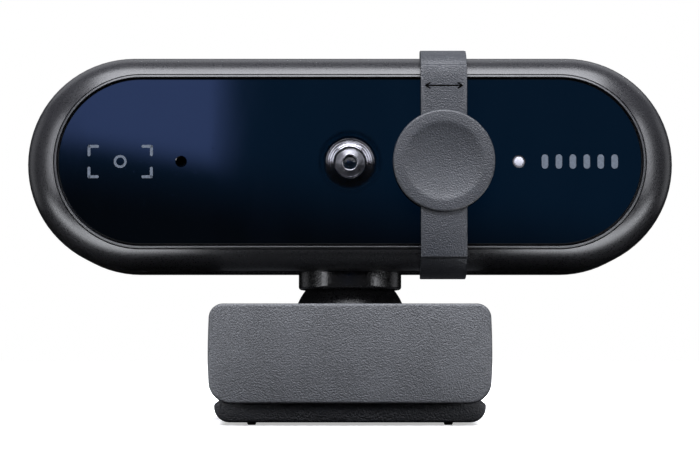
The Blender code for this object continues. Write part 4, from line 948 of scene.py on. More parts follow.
@dataclass
class GlassFront:
    """The bezel with its raised lip, the dark pane with its holes and printed marks, and the lamp's light guide."""

    cam: Webcam
    lip_finish: Finish
    pane_finish: Finish
    ink: Finish
    lamp: Finish
    lip_width: float = 0.33 * MM
    lip_round: float = 0.06 * MM
    lip_fall: float = 0.15 * MM
    skirt_wall: float = 1.2 * MM
    floor: float = 1.2 * MM
    floor_depth: float = 2.1 * MM
    pane_edge: float = 0.1 * MM
    lens_hole: float = 4.3 * MM
    mic_hole: float = 0.76 * MM
    lamp_radius: float = 0.7 * MM
    lamp_dome: float = 0.15 * MM
    lamp_foot: float = 1.3 * MM
    lamp_stem: float = 3.4 * MM
    hole_sink: float = 2.1 * MM
    mark_x: float = 33.8 * MM
    mark_size: Point = (9.6 * MM, 4.9 * MM)
    mark_line: float = 0.42 * MM
    mark_ring: Point = (0.95 * MM, 0.6 * MM)
    pip_size: Point = (0.95 * MM, 2.1 * MM)
    pip_pitch: float = 2.05 * MM
    pips: int = 6
    ink_height: float = 0.02 * MM

    def __post_init__(self) -> None:
        """Measure the bezel, the pane, and what shows through its holes."""
        self.box, self.pane = self.cam.level_box("front_bezel"), self.cam.level_box("front_window")
        self.guide = self.cam.level_box("led_light_guide")
        self.mid, self.radius, self.front = self.box.mid.z, self.box.half.z, self.pane.low.y
        self.mic_x, self.lamp_x = self.cam.level_box("mic_boot").mid.x, self.guide.mid.x

    def build(self) -> None:
        """Build the bezel, the pane, the marks and the light guide."""
        self._bezel()
        self._pane()
        self._marks()
        self._light_guide()

    def _loft(self, name: str, section: Sequence[Point]) -> Shape:
        """Carry a (radius of the ends, y) section round the pill-shaped front."""
        straight = self.box.high.x - self.radius
        return Shape.skin(name, [[Vector((x, y, self.mid + z)) for x, z in stadium(straight, r)] for r, y in section])

    def _bezel(self) -> None:
        """The tray behind the pane, with a thin rounded lip in front and screw posts behind."""
        front, recess, turn = self.box.low.y, self.radius - self.lip_width, self.lip_round
        floor = front + self.floor_depth
        lip = arc((recess + turn, front + turn), (turn, turn), math.pi, 1.5 * math.pi, 4)
        lip += [(recess + 2 * turn, front + turn * 0.35), (self.radius - turn, front + self.lip_fall),
                (self.radius, front + self.lip_fall + turn)]
        back = self.radius - self.skirt_wall
        tray = self._loft("bezel_tray", [(recess, floor), *lip, (self.radius, self.box.high.y),
                                         (back, self.box.high.y), (back, floor + self.floor)])
        start = floor + self.floor / 2
        for node, radius, bite in (("housing_screw", 2.0 * MM, 3.2 * MM), ("board_screw", 1.5 * MM, 3.7 * MM)):
            for i in range(1, 5):
                screw = self.cam.level_box(f"{node}_{i}")
                at = (screw.mid.x, start, screw.mid.z)
                tray.join(Shape.rod("post", radius, (0, start - screw.low.y - bite), Facing.FRONT, at, 32))
        reach = 4 * MM
        for x, radius in ((0.0, self.lens_hole), (self.mic_x, self.mic_hole + GAP),
                          (self.lamp_x, self.lamp_radius + GAP)):
            tray.cut(Shape.rod("hole", radius, (reach, -reach), Facing.FRONT, (x, floor, self.mid), 48))
        self.cam.fit(tray.smooth(40.0), "head", "bezel_black", self.lip_finish, "front_bezel")

    def _pane(self) -> None:
        """The glass, with ground edges and countersunk holes."""
        edge, radius, deep = self.pane_edge, self.pane.half.z, 2 * MM
        front, back = self.pane.low.y, self.pane.high.y
        pane = self._loft("glass_pane", [(radius - edge, front), (radius, front + edge), (radius, back - edge),
                                         (radius - edge, back)])
        for x, r in ((self.mic_x, self.mic_hole), (self.lamp_x, self.lamp_radius + GAP / 2)):
            sink = [(0, deep), (r + self.hole_sink, deep), (r, -edge), (r, -deep), (0, -deep)]
            pane.cut(Shape.turned("sink", sink, Facing.FRONT, (x, front, self.mid), 48))
        self.cam.fit(pane.smooth(25.0), "head", "window_glass", self.pane_finish, "front_window")

    def _marks(self) -> None:
        """Plain printed marks: a viewfinder's corners and ring on the left, a row of pips on the right."""
        (width, height), line = self.mark_size, self.mark_line
        arm = height * 0.34
        strokes = []
        for sx in (-1, 1):
            for sz in (-1, 1):
                x, z = sx * (width - line) / 2 - self.mark_x, sz * (height - line) / 2
                strokes.append(self._ink(x - sx * (arm - line) / 2, z, (arm, line), line))
                strokes.append(self._ink(x, z - sz * (arm - line) / 2, (line, arm), line))
        (outer, inner), top = self.mark_ring, self.ink_height
        strokes.append(Shape.turned("ring", [(outer, 0), (outer, top), (inner, top), (inner, 0)], Facing.FRONT,
                                    (-self.mark_x, self.front, self.mid), 40))
        first = self.mark_x - (self.pips - 1) / 2 * self.pip_pitch
        pips = [self._ink(first + i * self.pip_pitch, 0, self.pip_size, self.pip_size[0]) for i in range(self.pips)]
        for name, shapes in (("printed_frame_mark", strokes), ("printed_pips", pips)):
            self.cam.fit(Shape.gathered(name, shapes).smooth(), "head", "lamp_white", self.ink)

    def _ink(self, x: float, z: float, size: Point, line: float) -> Shape:
        """One thin patch of ink on the pane.

        Args:
            x: Its centre.
            z: Its height above the head's centre.
            size: Its width and height.
            line: The width that its round ends follow.

        Returns:
            The patch.
        """
        outline = rounded_box(*size, line * 0.48)
        return Shape.plate("ink", outline, 2 * self.ink_height, Facing.FRONT, (x, self.front, self.mid + z))

    def _light_guide(self) -> None:
        """The stepped rod that leads the lamp's light out, with a domed tip."""
        length, back = 2 * self.guide.half.y, self.guide.high.y
        step = length - self.lamp_stem
        tip = arc((0, length - self.lamp_dome), (self.lamp_radius, self.lamp_dome), math.pi / 2, 0, 8)
        profile = [*tip, (self.lamp_radius, step), (self.lamp_foot, step), (self.lamp_foot, 0), (0, 0)]
        guide = Shape.turned("light_guide", profile, Facing.FRONT, (self.lamp_x, back, self.mid), 48).smooth()
        self.cam.fit(guide, "head", "lamp_white", self.lamp, "led_light_guide")


@dataclass
class LensUnit:
    """The lens behind the clear spot: a cone, a stepped barrel nose and a domed front glass."""

    cam: Webcam
    cone_finish: Finish
    barrel_finish: Finish
    glass_finish: Finish
    cone_inner: float = 2.34 * MM
    cone_outer: float = 3.95 * MM
    cone_lean: float = math.radians(15.0)
    cone_round: float = 0.25 * MM
    edge: float = 0.05 * MM
    nose_radius: float = 2.2 * MM
    thread_radius: float = 2.8 * MM
    barrel_bore: Point = (2.3 * MM, 1.7 * MM)
    baffle_radius: float = 1.05 * MM
    baffle_margin: float = 0.15 * MM
    baffle_depth: float = 0.9 * MM
    nose_drop: float = 0.3 * MM
    steps: int = 3
    glass_radius: float = 1.45 * MM
    glass_dome: float = 0.45 * MM
    glass_recess: float = 0.3 * MM

    def build(self) -> None:
        """Build the cone, the barrel and the front glass."""
        cone = self.cam.level_box("lens_shroud")
        at, back = (0.0, 0.0, cone.mid.z), -cone.high.y
        self._cone(at, -cone.low.y, back)
        self._barrel(at, back - GAP)
        glass = self.cam.level_box("lens_front_element")
        crown, radius = -glass.low.y - self.glass_recess, self.glass_radius
        dome = arc((0, crown - self.glass_dome), (radius, self.glass_dome), math.pi / 2, 0, 14)
        profile = [*dome, (radius, -glass.high.y), (0, -glass.high.y)]
        element = Shape.turned("front_glass", profile, Facing.FRONT, at, 64).smooth(50.0)
        self.cam.fit(element, "head", "lens_glass", self.glass_finish, "lens_front_element")

    def _cone(self, at: Sequence[float], front: float, back: float) -> None:
        """The cone round the nose, which falls away from it.

        Args:
            at: The lens's axis.
            front: How far forward it reaches.
            back: Where it starts.
        """
        inner, outer, turn = self.cone_inner, self.cone_outer, self.cone_round
        fall = (outer - inner) * math.tan(self.cone_lean)
        profile = [(inner, back), (inner, front - self.edge), (inner + self.edge, front),
                   *arc((outer - turn, front - fall - turn), (turn, turn), math.pi / 2, 0, 5), (outer, back)]
        shroud = Shape.turned("lens_cone", profile, Facing.FRONT, at).smooth()
        self.cam.fit(shroud, "head", "lens_black", self.cone_finish, "lens_shroud")

    def _barrel(self, at: Sequence[float], shoulder: float) -> None:
        """The threaded barrel, whose nose steps back from a baffle.

        Args:
            at: The lens's axis.
            shoulder: Where the thread ends.
        """
        box = self.cam.level_box("lens_barrel")
        tip, foot = -box.low.y, -box.high.y
        wide, narrow = self.barrel_bore
        profile = [(self.nose_radius, tip - self.nose_drop - self.edge), (self.nose_radius, shoulder),
                   (self.thread_radius, shoulder), (self.thread_radius, foot), (wide, foot),
                   (wide, shoulder - GAP), (narrow, shoulder - GAP),
                   (self.baffle_radius, tip - self.baffle_depth), (self.baffle_radius, tip - 0.1 * MM)]
        tread = (self.nose_radius - self.baffle_radius - self.baffle_margin) / self.steps
        rise = self.nose_drop / self.steps
        for i in range(self.steps):
            inner = self.nose_radius - tread * (self.steps - i)
            profile += [(inner, tip - rise * i), (inner + tread * 0.96, tip - rise * (i + 0.92))]
        barrel = Shape.turned("lens_nose", profile, Facing.FRONT, at).smooth(28.0)
        self.cam.fit(barrel, "head", "lens_black", self.barrel_finish, "lens_barrel")


@dataclass
class SlidingCover:
    """The strap that hooks over the rim above and below, with a dished finger disc and an engraved arrow."""

    cam: Webcam
    finish: Finish
    # ink here is the near-black fill that paints the shade inside the engraved arrow.
    ink: Finish
    strap_half_width: float = 3.4 * MM
    thickness: float = 0.9 * MM
    bend: float = math.radians(33.0)
    bend_steps: int = 16
    disc_raise: float = 0.6 * MM
    disc_radius: float = 7.5 * MM
    disc_round: float = 0.3 * MM
    dish_radius: float = 5.75 * MM
    dish_depth: float = 0.62 * MM
    dish_steps: int = 14
    arrow_height: float = 11.1 * MM
    arrow_half: float = 2.7 * MM
    arrow_head: float = 0.62 * MM
    arrow_line: float = 0.24 * MM
    arrow_depth: float = 0.16 * MM
    shade_fill_depth: float = 0.03 * MM

    def __post_init__(self) -> None:
        """Measure the cover and the bezel's lip that it passes."""
        self.box, self.lip = self.cam.level_box("privacy_cover"), self.cam.level_box("front_bezel")
        self.x, self.mid, self.back = self.box.mid.x, self.box.mid.z, self.lip.low.y - GAP
        self.strap_front = self.box.low.y + self.disc_raise

    def build(self) -> None:
        """Build the strap and its disc as one piece, engrave it, and fill the engraving with near-black that paints its
        shade.
        """
        at = (self.x, 0, self.mid)
        strap = Shape.plate("sliding_cover", self._outline(), 2 * self.strap_half_width, Facing.RIGHT, at)
        strap.soften(0.13 * MM, 2, 60.0).join(self._disc())
        strap.cut(*self._arrow(self.strap_front, self.arrow_depth, self.arrow_line)).smooth(28.0)
        self.cam.fit(strap, "cover", "cover_grey", self.finish, "privacy_cover")
        # A near-black, almost unreflecting fill sits in the engraving: painted shade for the arrow's groove.
        fill = self._arrow(self.strap_front + self.arrow_depth / 2, self.shade_fill_depth, self.arrow_line * 0.96)
        self.cam.fit(Shape.gathered("arrow_shade_fill", fill).smooth(), "cover", "cover_grey", self.ink)

    def _outline(self) -> list[Point]:
        """Side view of the strap, in (y, height above the head's centre)."""
        shell, widest = self.cam.level_box("body_housing"), self.cam.widest
        tall = shell.half.z
        side = (tall - self.lip.half.z - GAP) / (1 - math.sin(RIM_START))
        depth = (widest - shell.low.y) / math.cos(RIM_START)

        def wrap(clearance: float, start: float) -> list[Point]:
            centre, radii = (widest, tall - side), (-depth - clearance, side + clearance)
            return arc(centre, radii, start, math.pi / 2, self.bend_steps)

        outer_gap = GAP + self.thickness
        hook_end, barb = widest + HOOK_LENGTH, tall - GROOVE_DEPTH + GAP
        outside = wrap(outer_gap, self.bend)
        inside = wrap(GAP, math.acos(min(1.0, (widest - self.back) / (depth + GAP))))
        top = [(self.strap_front, outside[0][1] - 0.25 * MM), *outside, (hook_end, tall + outer_gap),
               (hook_end, barb), (widest + GAP, barb), (widest + GAP, tall + GAP), *inside[::-1]]
        return top + [(y, -z) for y, z in reversed(top)]

    def _disc(self) -> Shape:
        """The round finger disc with its shallow dish."""
        face, turn = -self.box.low.y, self.disc_round
        shares = [i / self.dish_steps for i in range(self.dish_steps + 1)]
        dish = [(self.dish_radius * s, face - self.dish_depth * (1 - s * s) ** 0.82) for s in shares]
        blend = arc((self.disc_radius - turn, face - turn), (turn, turn), math.pi / 2, 0, 6)
        profile = [*dish, (self.dish_radius + 0.25 * MM, face), *blend, (self.disc_radius, -self.back),
                   (0, -self.back)]
        return Shape.turned("disc", profile, Facing.FRONT, (self.x, 0, self.mid), 128)

    def _arrow(self, front: float, depth: float, line: float) -> list[Shape]:
        """Strokes of a double-headed arrow.

        Args:
            front: Where the strokes' middle lies, along y.
            depth: How far they reach to each side of it.
            line: Their width.

        Returns:
            One shape for each stroke.
        """
        half, tick = self.arrow_half, self.arrow_head
        strokes = [((-half, 0.0), (half, 0.0))]
        for way in (-1, 1):
            for side in (-1, 1):
                strokes.append(((way * half, 0.0), (way * (half - tick), side * tick * 0.62)))
        shapes = []
        for (x0, z0), (x1, z1) in strokes:
            length, turn = math.hypot(x1 - x0, z1 - z0), math.atan2(z1 - z0, x1 - x0)
            cos, sin = math.cos(turn), math.sin(turn)
            outline = [(u * cos - v * sin, u * sin + v * cos) for u, v in stadium(length / 2, line / 2, 5)]
            at = (self.x + (x0 + x1) / 2, front, self.mid + self.arrow_height + (z0 + z1) / 2)
            shapes.append(Shape.plate("stroke", outline, 2 * depth, Facing.FRONT, at))
        return shapes


@dataclass
class BackFittings:
    """What shows on the back of the head: four cross-head screws and the cord grommet."""

    cam: Webcam
    steel: Finish
    rubber: Finish
    head_radius: float = 1.6 * MM
    head_dome: float = 0.55 * MM
    head_height: float = 1.2 * MM
    shank_radius: float = 0.8 * MM
    point: float = 0.5 * MM
    cross_width: float = 0.42 * MM
    cross_depth: float = 0.65 * MM
    bore: float = 1.75 * MM
    neck: float = 2.5 * MM
    flange: float = 1.0 * MM
    flange_round: float = 0.5 * MM

    def build(self) -> None:
        """Build the screws and the grommet."""
        for i in range(1, 5):
            self._screw(i)
        self._grommet()

    def _screw(self, number: int) -> None:
        """One housing screw with a cross in its domed head."""
        box = self.cam.level_box(f"housing_screw_{number}")
        at, length = Vector((box.mid.x, box.high.y, box.mid.z)), 2 * box.half.y
        top = arc((0, -self.head_dome), (self.head_radius, self.head_dome), math.pi / 2, 0, 10)
        profile = [*top, (self.head_radius, -self.head_height), (self.shank_radius, -self.head_height),
                   (self.shank_radius, self.point - length), (0, -length)]
        screw = Shape.turned(f"case_screw_{number}", profile, Facing.BACK, at, 40)
        reach, half = self.head_radius * 0.62, self.cross_width / 2
        for x, z in ((reach, half), (half, reach)):
            size = Vector((x, self.cross_depth, z))
            screw.cut(Shape.block("cross", at - size, at + size))
        self.cam.fit(screw.smooth(35.0), "head", "steel_plain", self.steel, f"housing_screw_{number}")

    def _grommet(self) -> None:
        """The grommet, gripping the wall between two flanges, with a groove round its mouth."""
        box, bore, flange = self.cam.level_box("cable_gland"), self.bore, self.flange
        radius, length, turn = box.half.x, 2 * box.half.y, self.flange_round
        profile = [(bore + 0.25 * MM, length), (bore, length - 0.25 * MM), (bore, 0), (radius, 0), (radius, flange),
                   (self.neck, flange), (self.neck, length - flange), (radius, length - flange),
                   *arc((radius - turn, length - turn), (turn, turn), 0, math.pi / 2, 6),
                   (bore + 0.9 * MM, length), (bore + 0.75 * MM, length - 0.2 * MM),
                   (bore + 0.55 * MM, length - 0.2 * MM), (bore + 0.4 * MM, length)]
        at = (box.mid.x, box.low.y, box.mid.z)
        gland = Shape.turned("cord_grommet", profile, Facing.BACK, at, 72).smooth(40.0)
        self.cam.fit(gland, "head", "rubber_black", self.rubber, "cable_gland")


# ---- Neck ----

@dataclass
class SwivelNeck:
    """The collar that rides over a slotted half ball."""

    cam: Webcam
    collar_finish: Finish
    dome_finish: Finish
    ball_radius: float = 8.6 * MM
    ball_wall: float = 1.5 * MM
    ball_floor: float = 1.0 * MM
    ball_foot: float = 0.3 * MM
    skirt_radius: float = 5.7 * MM
    skirt_wall: float = 1.0 * MM
    skirt_length: float = 2.0 * MM
    slot_half_width: float = 2.2 * MM
    tongue_half_depth: float = 1.8 * MM
    stem_hole: float = 1.3 * MM
    flange: float = 1.2 * MM
    flange_inset: float = 1.3 * MM
    edge: float = 0.45 * MM

    def build(self) -> None:
        """Build the collar and the dome."""
        self.ball, self.inner_radius = self.cam.ball.z, self.ball_radius - self.ball_wall
        self._collar()
        self._dome()

    def _collar(self) -> None:
        """The socket, with a rounded lower edge, and the flange that holds it in the head."""
        box, ball = self.cam.level_box("swivel_collar"), self.ball
        low, high, radius, socket = box.low, box.high, box.half.y, self.ball_radius + GAP
        rim = arc((radius - self.edge, low.z + self.edge), (self.edge, self.edge), 0, -math.pi / 2, 6)
        cavity = arc((0, ball), (socket, socket), math.asin((low.z - ball) / socket), math.pi / 2, 20)
        cavity[-1] = (0.0, ball + socket)
        collar = Shape.turned("neck_collar", [(0.0, high.z), (radius, high.z), *rim, *cavity], Facing.UP, ORIGIN, 144)
        depth = radius - self.flange_inset
        flange = Shape.block("flange", (low.x, -depth, high.z - self.flange), (high.x, depth, high.z))
        reach, inner = self.slot_half_width - GAP, ball + self.inner_radius
        tongue = Shape.block("tongue", (-reach, -self.tongue_half_depth, inner + GAP / 2),
                             (reach, self.tongue_half_depth, ball + socket + GAP))
        collar.join(flange, tongue)
        collar.cut(Shape.rod("hole", self.stem_hole, (high.z + MM, ball), Facing.UP, ORIGIN, 32)).smooth(30.0)
        self.cam.fit(collar, "head", "neck_black", self.collar_finish, "swivel_collar")

    def _dome(self) -> None:
        """The half ball with its tilting slot and the skirt that passes through the clip."""
        foot = self.cam.box("swivel_dome").low.z
        base, ball, inner_radius = foot + self.skirt_length, self.ball, self.inner_radius
        floor = base + self.ball_floor
        outer = arc((0, ball), (self.ball_radius,) * 2, math.pi / 2, math.asin((base - ball) / self.ball_radius), 28)
        inner = arc((0, ball), (inner_radius,) * 2, math.asin((floor - ball) / inner_radius), math.pi / 2, 14)
        outer[0], inner[-1] = (0.0, ball + self.ball_radius), (0.0, ball + inner_radius)
        skirt_in = self.skirt_radius - self.skirt_wall
        profile = [*outer, (outer[-1][0] - self.ball_foot, base), (self.skirt_radius, base),
                   (self.skirt_radius, foot), (skirt_in, foot), (skirt_in, floor), *inner]
        dome = Shape.turned("neck_dome", profile, Facing.UP, ORIGIN, 144)
        up, down = (math.radians(v) for v in self.cam.tilt["range_deg"])
        play = math.asin(self.tongue_half_depth / inner_radius) + GAP / inner_radius
        rear, front = (math.pi / 2 + v - self.cam.lean for v in (up - play, down + play))
        fan = arc((0, 0), (self.ball_radius + self.ball_wall,) * 2, rear, front, 16)
        fan += arc((0, 0), (inner_radius - self.ball_wall,) * 2, front, rear, 16)
        dome.cut(Shape.plate("slot", fan, 2 * self.slot_half_width, Facing.RIGHT, (0, 0, ball))).smooth(35.0)
        self.cam.fit(dome, "turret", "neck_black", self.dome_finish, "swivel_dome")


# ---- Clip ----

@dataclass
class ScreenClip:
    """The grained lip and web that sit on a screen, and the hinge that the leg swings on."""

    cam: Webcam
    finish: Finish
    rubber: Finish
    steel: Finish
    nylon: Finish
    lip_thickness: float = 2.2 * MM
    top_corner: float = 2.0 * MM
    bottom_corner: float = 3.15 * MM
    corner_steps: int = 12
    bow: float = 0.012
    lip_rise: float = 2.5 * MM
    web_thickness: float = 3.0 * MM
    hinge_radius: float = 2.7 * MM
    ear_width: float = 3.85 * MM
    ear_round: float = 0.25 * MM
    pin_bore: float = 1.3 * MM
    pin_dome: float = 0.3 * MM
    washer_edge: float = 0.1 * MM
    pan_bore: float = 6.0 * MM
    counterbore: float = 8.0 * MM
    pan_ledge: float = 1.0 * MM
    pad_pocket: float = 0.8 * MM
    pad_ridge: float = 0.3 * MM
    pad_pitch: float = 0.8 * MM

    def __post_init__(self) -> None:
        """Measure the bracket, the pin and the leg."""
        self.box, self.pin, self.leg = (self.cam.box(node) for node in ("clip_bracket", "leg_hinge_pin", "clip_leg"))
        self.hinge = Vector((0, self.pin.mid.y, self.pin.mid.z))

    def build(self) -> None:
        """Build the bracket, its pad, the hinge pin and the friction washers."""
        self._bracket()
        self.pad("lip_pad", "clip", faces_back=True)
        self._hinge()

    def knuckle(self, name: str, half: float, rim: float, x: float, steps: int) -> Shape:
        """A rod on the hinge's axis with chamfered ends.

        Args:
            name: The shape's name.
            half: Half of its length.
            rim: Size of the chamfer.
            x: Its centre.
            steps: Spans round it.

        Returns:
            The rod.
        """
        radius = self.hinge_radius
        profile = [(0, half), (radius - rim, half), (radius, half - rim), (radius, rim - half), (radius - rim, -half),
                   (0, -half)]
        return Shape.turned(name, profile, Facing.RIGHT, (x, self.hinge.y, self.hinge.z), steps)

    def bore(self, at: Sequence[float], radius: float, length: float, facing: Facing) -> Shape:
        """A round cutter centred on a point."""
        return Shape.rod("bore", radius, (length / 2, -length / 2), facing, at, 96)

    def pad(self, node: str, body: str, faces_back: bool) -> None:
        """A rubber pad with fine grip ridges along it.

        Args:
            node: The CAD node that it stands for.
            body: The body that it rides on.
            faces_back: True where its ridges face the back, False where they face up.
        """
        box = self.cam.box(node)
        along, up = (2, 1) if faces_back else (1, 2)
        start, length, base, top = box.low[along], 2 * box.half[along], box.low[up], box.high[up]
        spans = round(length / self.pad_pitch) * 4
        section = [(start, base)]
        for i in range(spans + 1):
            fall = self.pad_ridge * (0.5 + 0.5 * math.cos(math.tau * i / 4))
            section.append((start + length * i / spans, top - fall))
        section.append((start + length, base))
        outline = [(y, z) for z, y in section] if faces_back else section[::-1]
        pad = Shape.plate(node + "_ridged", outline, 2 * box.half.x, Facing.RIGHT, (box.mid.x, 0, 0)).smooth(50.0)
        self.cam.fit(pad, body, "rubber_black", self.rubber, node)

    def _lip_outline(self) -> list[Point]:
        """Front view of the lip: round corners and sides that bow out very slightly."""
        half, top, bottom = self.box.high.x, self.box.high.z, self.box.low.z
        corners = [(-half, bottom, self.bottom_corner), (half, bottom, self.bottom_corner),
                   (half, top, self.top_corner), (-half, top, self.top_corner)]
        points, right = rounded(corners, self.corner_steps), 2 * (self.corner_steps + 1)
        side = [bottom + (top - bottom) * share for share in (0.3, 0.4, 0.5, 0.6, 0.7)]
        points = points[:right] + [(half, z) for z in side] + points[right:] + [(-half, z) for z in reversed(side)]
        centre, tall = self.box.mid.z, self.box.half.z
        return [(x * (1 - self.bow * ((z - centre) / tall) ** 2), z) for x, z in points]

    def _bracket(self) -> None:
        """The lip, the web behind it and the hinge ears as one piece."""
        front, half, hinge, depth = self.box.low.y, self.leg.high.x, self.hinge, self.web_thickness
        back, at = front + self.lip_thickness, (0, front + self.lip_thickness / 2, 0)
        lip = Shape.plate("clip_body", self._lip_outline(), self.lip_thickness, Facing.FRONT, at)
        web_top = self.box.high.z - self.lip_rise
        web_bottom = web_top - depth
        rear = hinge.y - self.hinge_radius - 2 * GAP
        web = Shape.block("web", (-half, back - self.lip_thickness / 2, web_bottom), (half, rear, web_top))
        lip.soften(0.42 * MM, 4, 60.0).join(web.soften(0.3 * MM, 3, 60.0))
        for way in (-1, 1):
            x0, x1 = sorted((way * half, way * (half - self.ear_width)))
            arm = Shape.block("arm", (x0, rear - MM, web_bottom), (x1, hinge.y, hinge.z + self.hinge_radius))
            lip.join(arm, self.knuckle("knuckle", self.ear_width / 2, self.ear_round, (x0 + x1) / 2, 64))
        pad = self.cam.box("lip_pad")
        lip.cut(self.bore(hinge, self.pin_bore, 60 * MM, Facing.RIGHT),
                self.bore((0, 0, web_top), self.pan_bore, 9 * MM, Facing.UP),
                self.bore((0, 0, web_top - self.pan_ledge - depth), self.counterbore, 2 * depth, Facing.UP),
                Shape.block("pocket", (pad.low.x - GAP, back - self.pad_pocket, pad.low.z - GAP),
                            (pad.high.x + GAP, back + MM, pad.high.z + GAP)))
        self.cam.fit(lip.smooth(30.0), "clip", "bracket_grey", self.finish, "clip_bracket")

    def _hinge(self) -> None:
        """The pin with domed ends, and a nylon washer at each side of the leg's barrel."""
        radius, half = self.pin.half.z, self.pin.half.x
        right = arc((0, half - self.pin_dome), (radius, self.pin_dome), math.pi / 2, 0, 8)
        left = [(r, -h) for r, h in reversed(right)]
        pin = Shape.turned("hinge_pin", right + left, Facing.RIGHT, self.hinge, 48).smooth(50.0)
        self.cam.fit(pin, "clip", "steel_plain", self.steel, "leg_hinge_pin")
        for side in ("left", "right"):
            box, bore, edge = self.cam.box("hinge_washer_" + side), self.pin_bore, self.washer_edge
            outer, thick, at = box.half.z, box.half.x, (box.mid.x, self.hinge.y, self.hinge.z)
            profile = [(bore, thick), (outer - edge, thick), (outer, thick - edge), (outer, edge - thick),
                       (outer - edge, -thick), (bore, -thick)]
            washer = Shape.turned(f"friction_washer_{side}", profile, Facing.RIGHT, at, 64).smooth(50.0)
            self.cam.fit(washer, "clip", "nylon_pale", self.nylon, "hinge_washer_" + side)


@dataclass
class FoldingLeg:
    """The leg that folds under the clip: a base plate with feet, a rear wall and the hinge's barrel."""

    clip: ScreenClip
    finish: Finish
    corner: float = 2.3 * MM
    wall_thickness: float = 2.6 * MM
    base_thickness: float = 2.85 * MM
    barrel_gap: float = 1.2 * MM
    barrel_round: float = 0.2 * MM
    foot_flat: float = 0.5 * MM
    foot_round: float = 0.12 * MM

    def build(self) -> None:
        """Build the leg, its pad and its feet."""
        clip, cam, hinge = self.clip, self.clip.cam, self.clip.hinge
        low, high, mid = clip.leg.low, clip.leg.high, clip.leg.mid
        top = low.z + self.base_thickness
        outline = rounded([(low.x, low.z, self.corner), (high.x, low.z, self.corner), (high.x, top, 0),
                           (low.x, top, 0)], 12)
        leg = Shape.plate("leg_body", outline, high.y - low.y, Facing.FRONT, (0, mid.y, 0)).soften(0.35 * MM, 3, 60.0)
        wall_top, wall_front = hinge.z - clip.hinge_radius - GAP, high.y - self.wall_thickness
        half = high.x - clip.ear_width - self.barrel_gap
        wall = Shape.block("wall", (low.x, wall_front, top - MM), (high.x, high.y, wall_top)).soften(0.3 * MM, 3, 60.0)
        bridge = Shape.block("bridge", (-half, wall_front, wall_top - MM), (half, high.y, hinge.z))
        leg.join(wall, bridge, clip.knuckle("barrel", half, self.barrel_round, 0, 72))
        pad = cam.box("leg_pad")
        leg.cut(clip.bore(hinge, clip.pin_bore, 60 * MM, Facing.RIGHT),
                Shape.block("pocket", (pad.low.x - GAP, pad.low.y - GAP, top - clip.pad_pocket),
                            (pad.high.x + GAP, pad.high.y + GAP, top + MM)))
        feet = {node: cam.box(node) for node in [f"foot_{a}_{b}" for a in ("front", "rear") for b in ("left", "right")]}
        for foot in feet.values():
            depth = 2 * (foot.high.z - low.z + GAP)
            leg.cut(clip.bore((foot.mid.x, foot.mid.y, low.z), foot.half.x + GAP, depth, Facing.UP))
        cam.fit(leg.smooth(30.0), "leg", "bracket_grey", self.finish, "clip_leg")
        clip.pad("leg_pad", "leg", faces_back=False)
        for node, foot in feet.items():
            self._foot(node, foot, low.z)

    def _foot(self, node: str, box: Box, level: float) -> None:
        """One rubber foot with a small rounded tip.

        Args:
            node: The CAD node that it stands for.
            box: That node's box.
            level: Height of the leg's underside.
        """
        flat, turn, outer = self.foot_flat, self.foot_round, box.half.x
        profile = [(0, box.high.z), (outer, box.high.z), (outer, level), (flat + 0.2 * MM, level - 0.08 * MM),
                   *arc((flat, turn), (turn, turn), 0, -math.pi / 2, 5), (0, box.low.z)]
        at = (box.mid.x, box.mid.y, 0)
        foot = Shape.turned(node.replace("foot", "rubber_foot"), profile, Facing.UP, at, 48).smooth(50.0)
        self.clip.cam.fit(foot, "leg", "rubber_black", self.clip.rubber, node)


# ---- Studio ----

@dataclass(frozen=True)
class StudioFloor(Finish):
    """A pale matt table top."""

    near: float = 0.14
    far: float = 0.42

    def paint(self, sheet: NodeSheet) -> None:
        """White, fading to nothing far away so that no horizon shows."""
        away = sheet.radius((0, 0, 0), (1, 1, 0)) * MM
        sheet.dress(Base_Color=(0.9, 0.9, 0.9), Roughness=0.9, Specular_IOR_Level=0.1,
                    Emission_Color=(1.0, 1.0, 1.0), Emission_Strength=0.45, Alpha=1 - away.ease(self.near, self.far))


@dataclass(frozen=True)
class GlowingCard(Finish):
    """A glowing card with soft edges; its corners are in millimetres."""

    glow: Colour
    low: Point
    high: Point
    fade: float
    slant: float = 0.0
    upward: str = "Z"

    def paint(self, sheet: NodeSheet) -> None:
        """Glow inside the corners, and nothing outside them."""
        across = sheet.along("X")
        up = sheet.along(self.upward) + across * self.slant
        (x0, z0), (x1, z1), fade = self.low, self.high, self.fade
        inside = across.ease(x0 - fade, x0 + fade) * (1 - across.ease(x1 - fade, x1 + fade))
        inside = inside * up.ease(z0 - fade, z0 + fade) * (1 - up.ease(z1 - fade, z1 + fade))
        sheet.dress(Base_Color=(0.0, 0.0, 0.0), Roughness=1.0, Specular_IOR_Level=0.0, Emission_Color=self.glow,
                    Emission_Strength=1.0, Alpha=inside)


@dataclass(frozen=True)
class SoftLight:
    """A rectangular light that looks at the head."""

    name: str
    place: tuple[float, float, float]
    size: Point
    power: float
    reflects: bool = True

    def build(self) -> None:
        """Add the light."""
        data = bpy.data.lights.new(self.name, "AREA")
        data.shape = "RECTANGLE"
        data.size, data.size_y = self.size
        data.energy = self.power
        data.color = (0.93, 0.945, 1.0)
        lamp = bpy.data.objects.new(self.name, data)
        lamp.location = self.place
        lamp.rotation_euler = (Vector((0, 0, 0.03)) - lamp.location).to_track_quat("-Z", "Y").to_euler()
        lamp.visible_glossy = self.reflects
        bpy.context.scene.collection.objects.link(lamp)


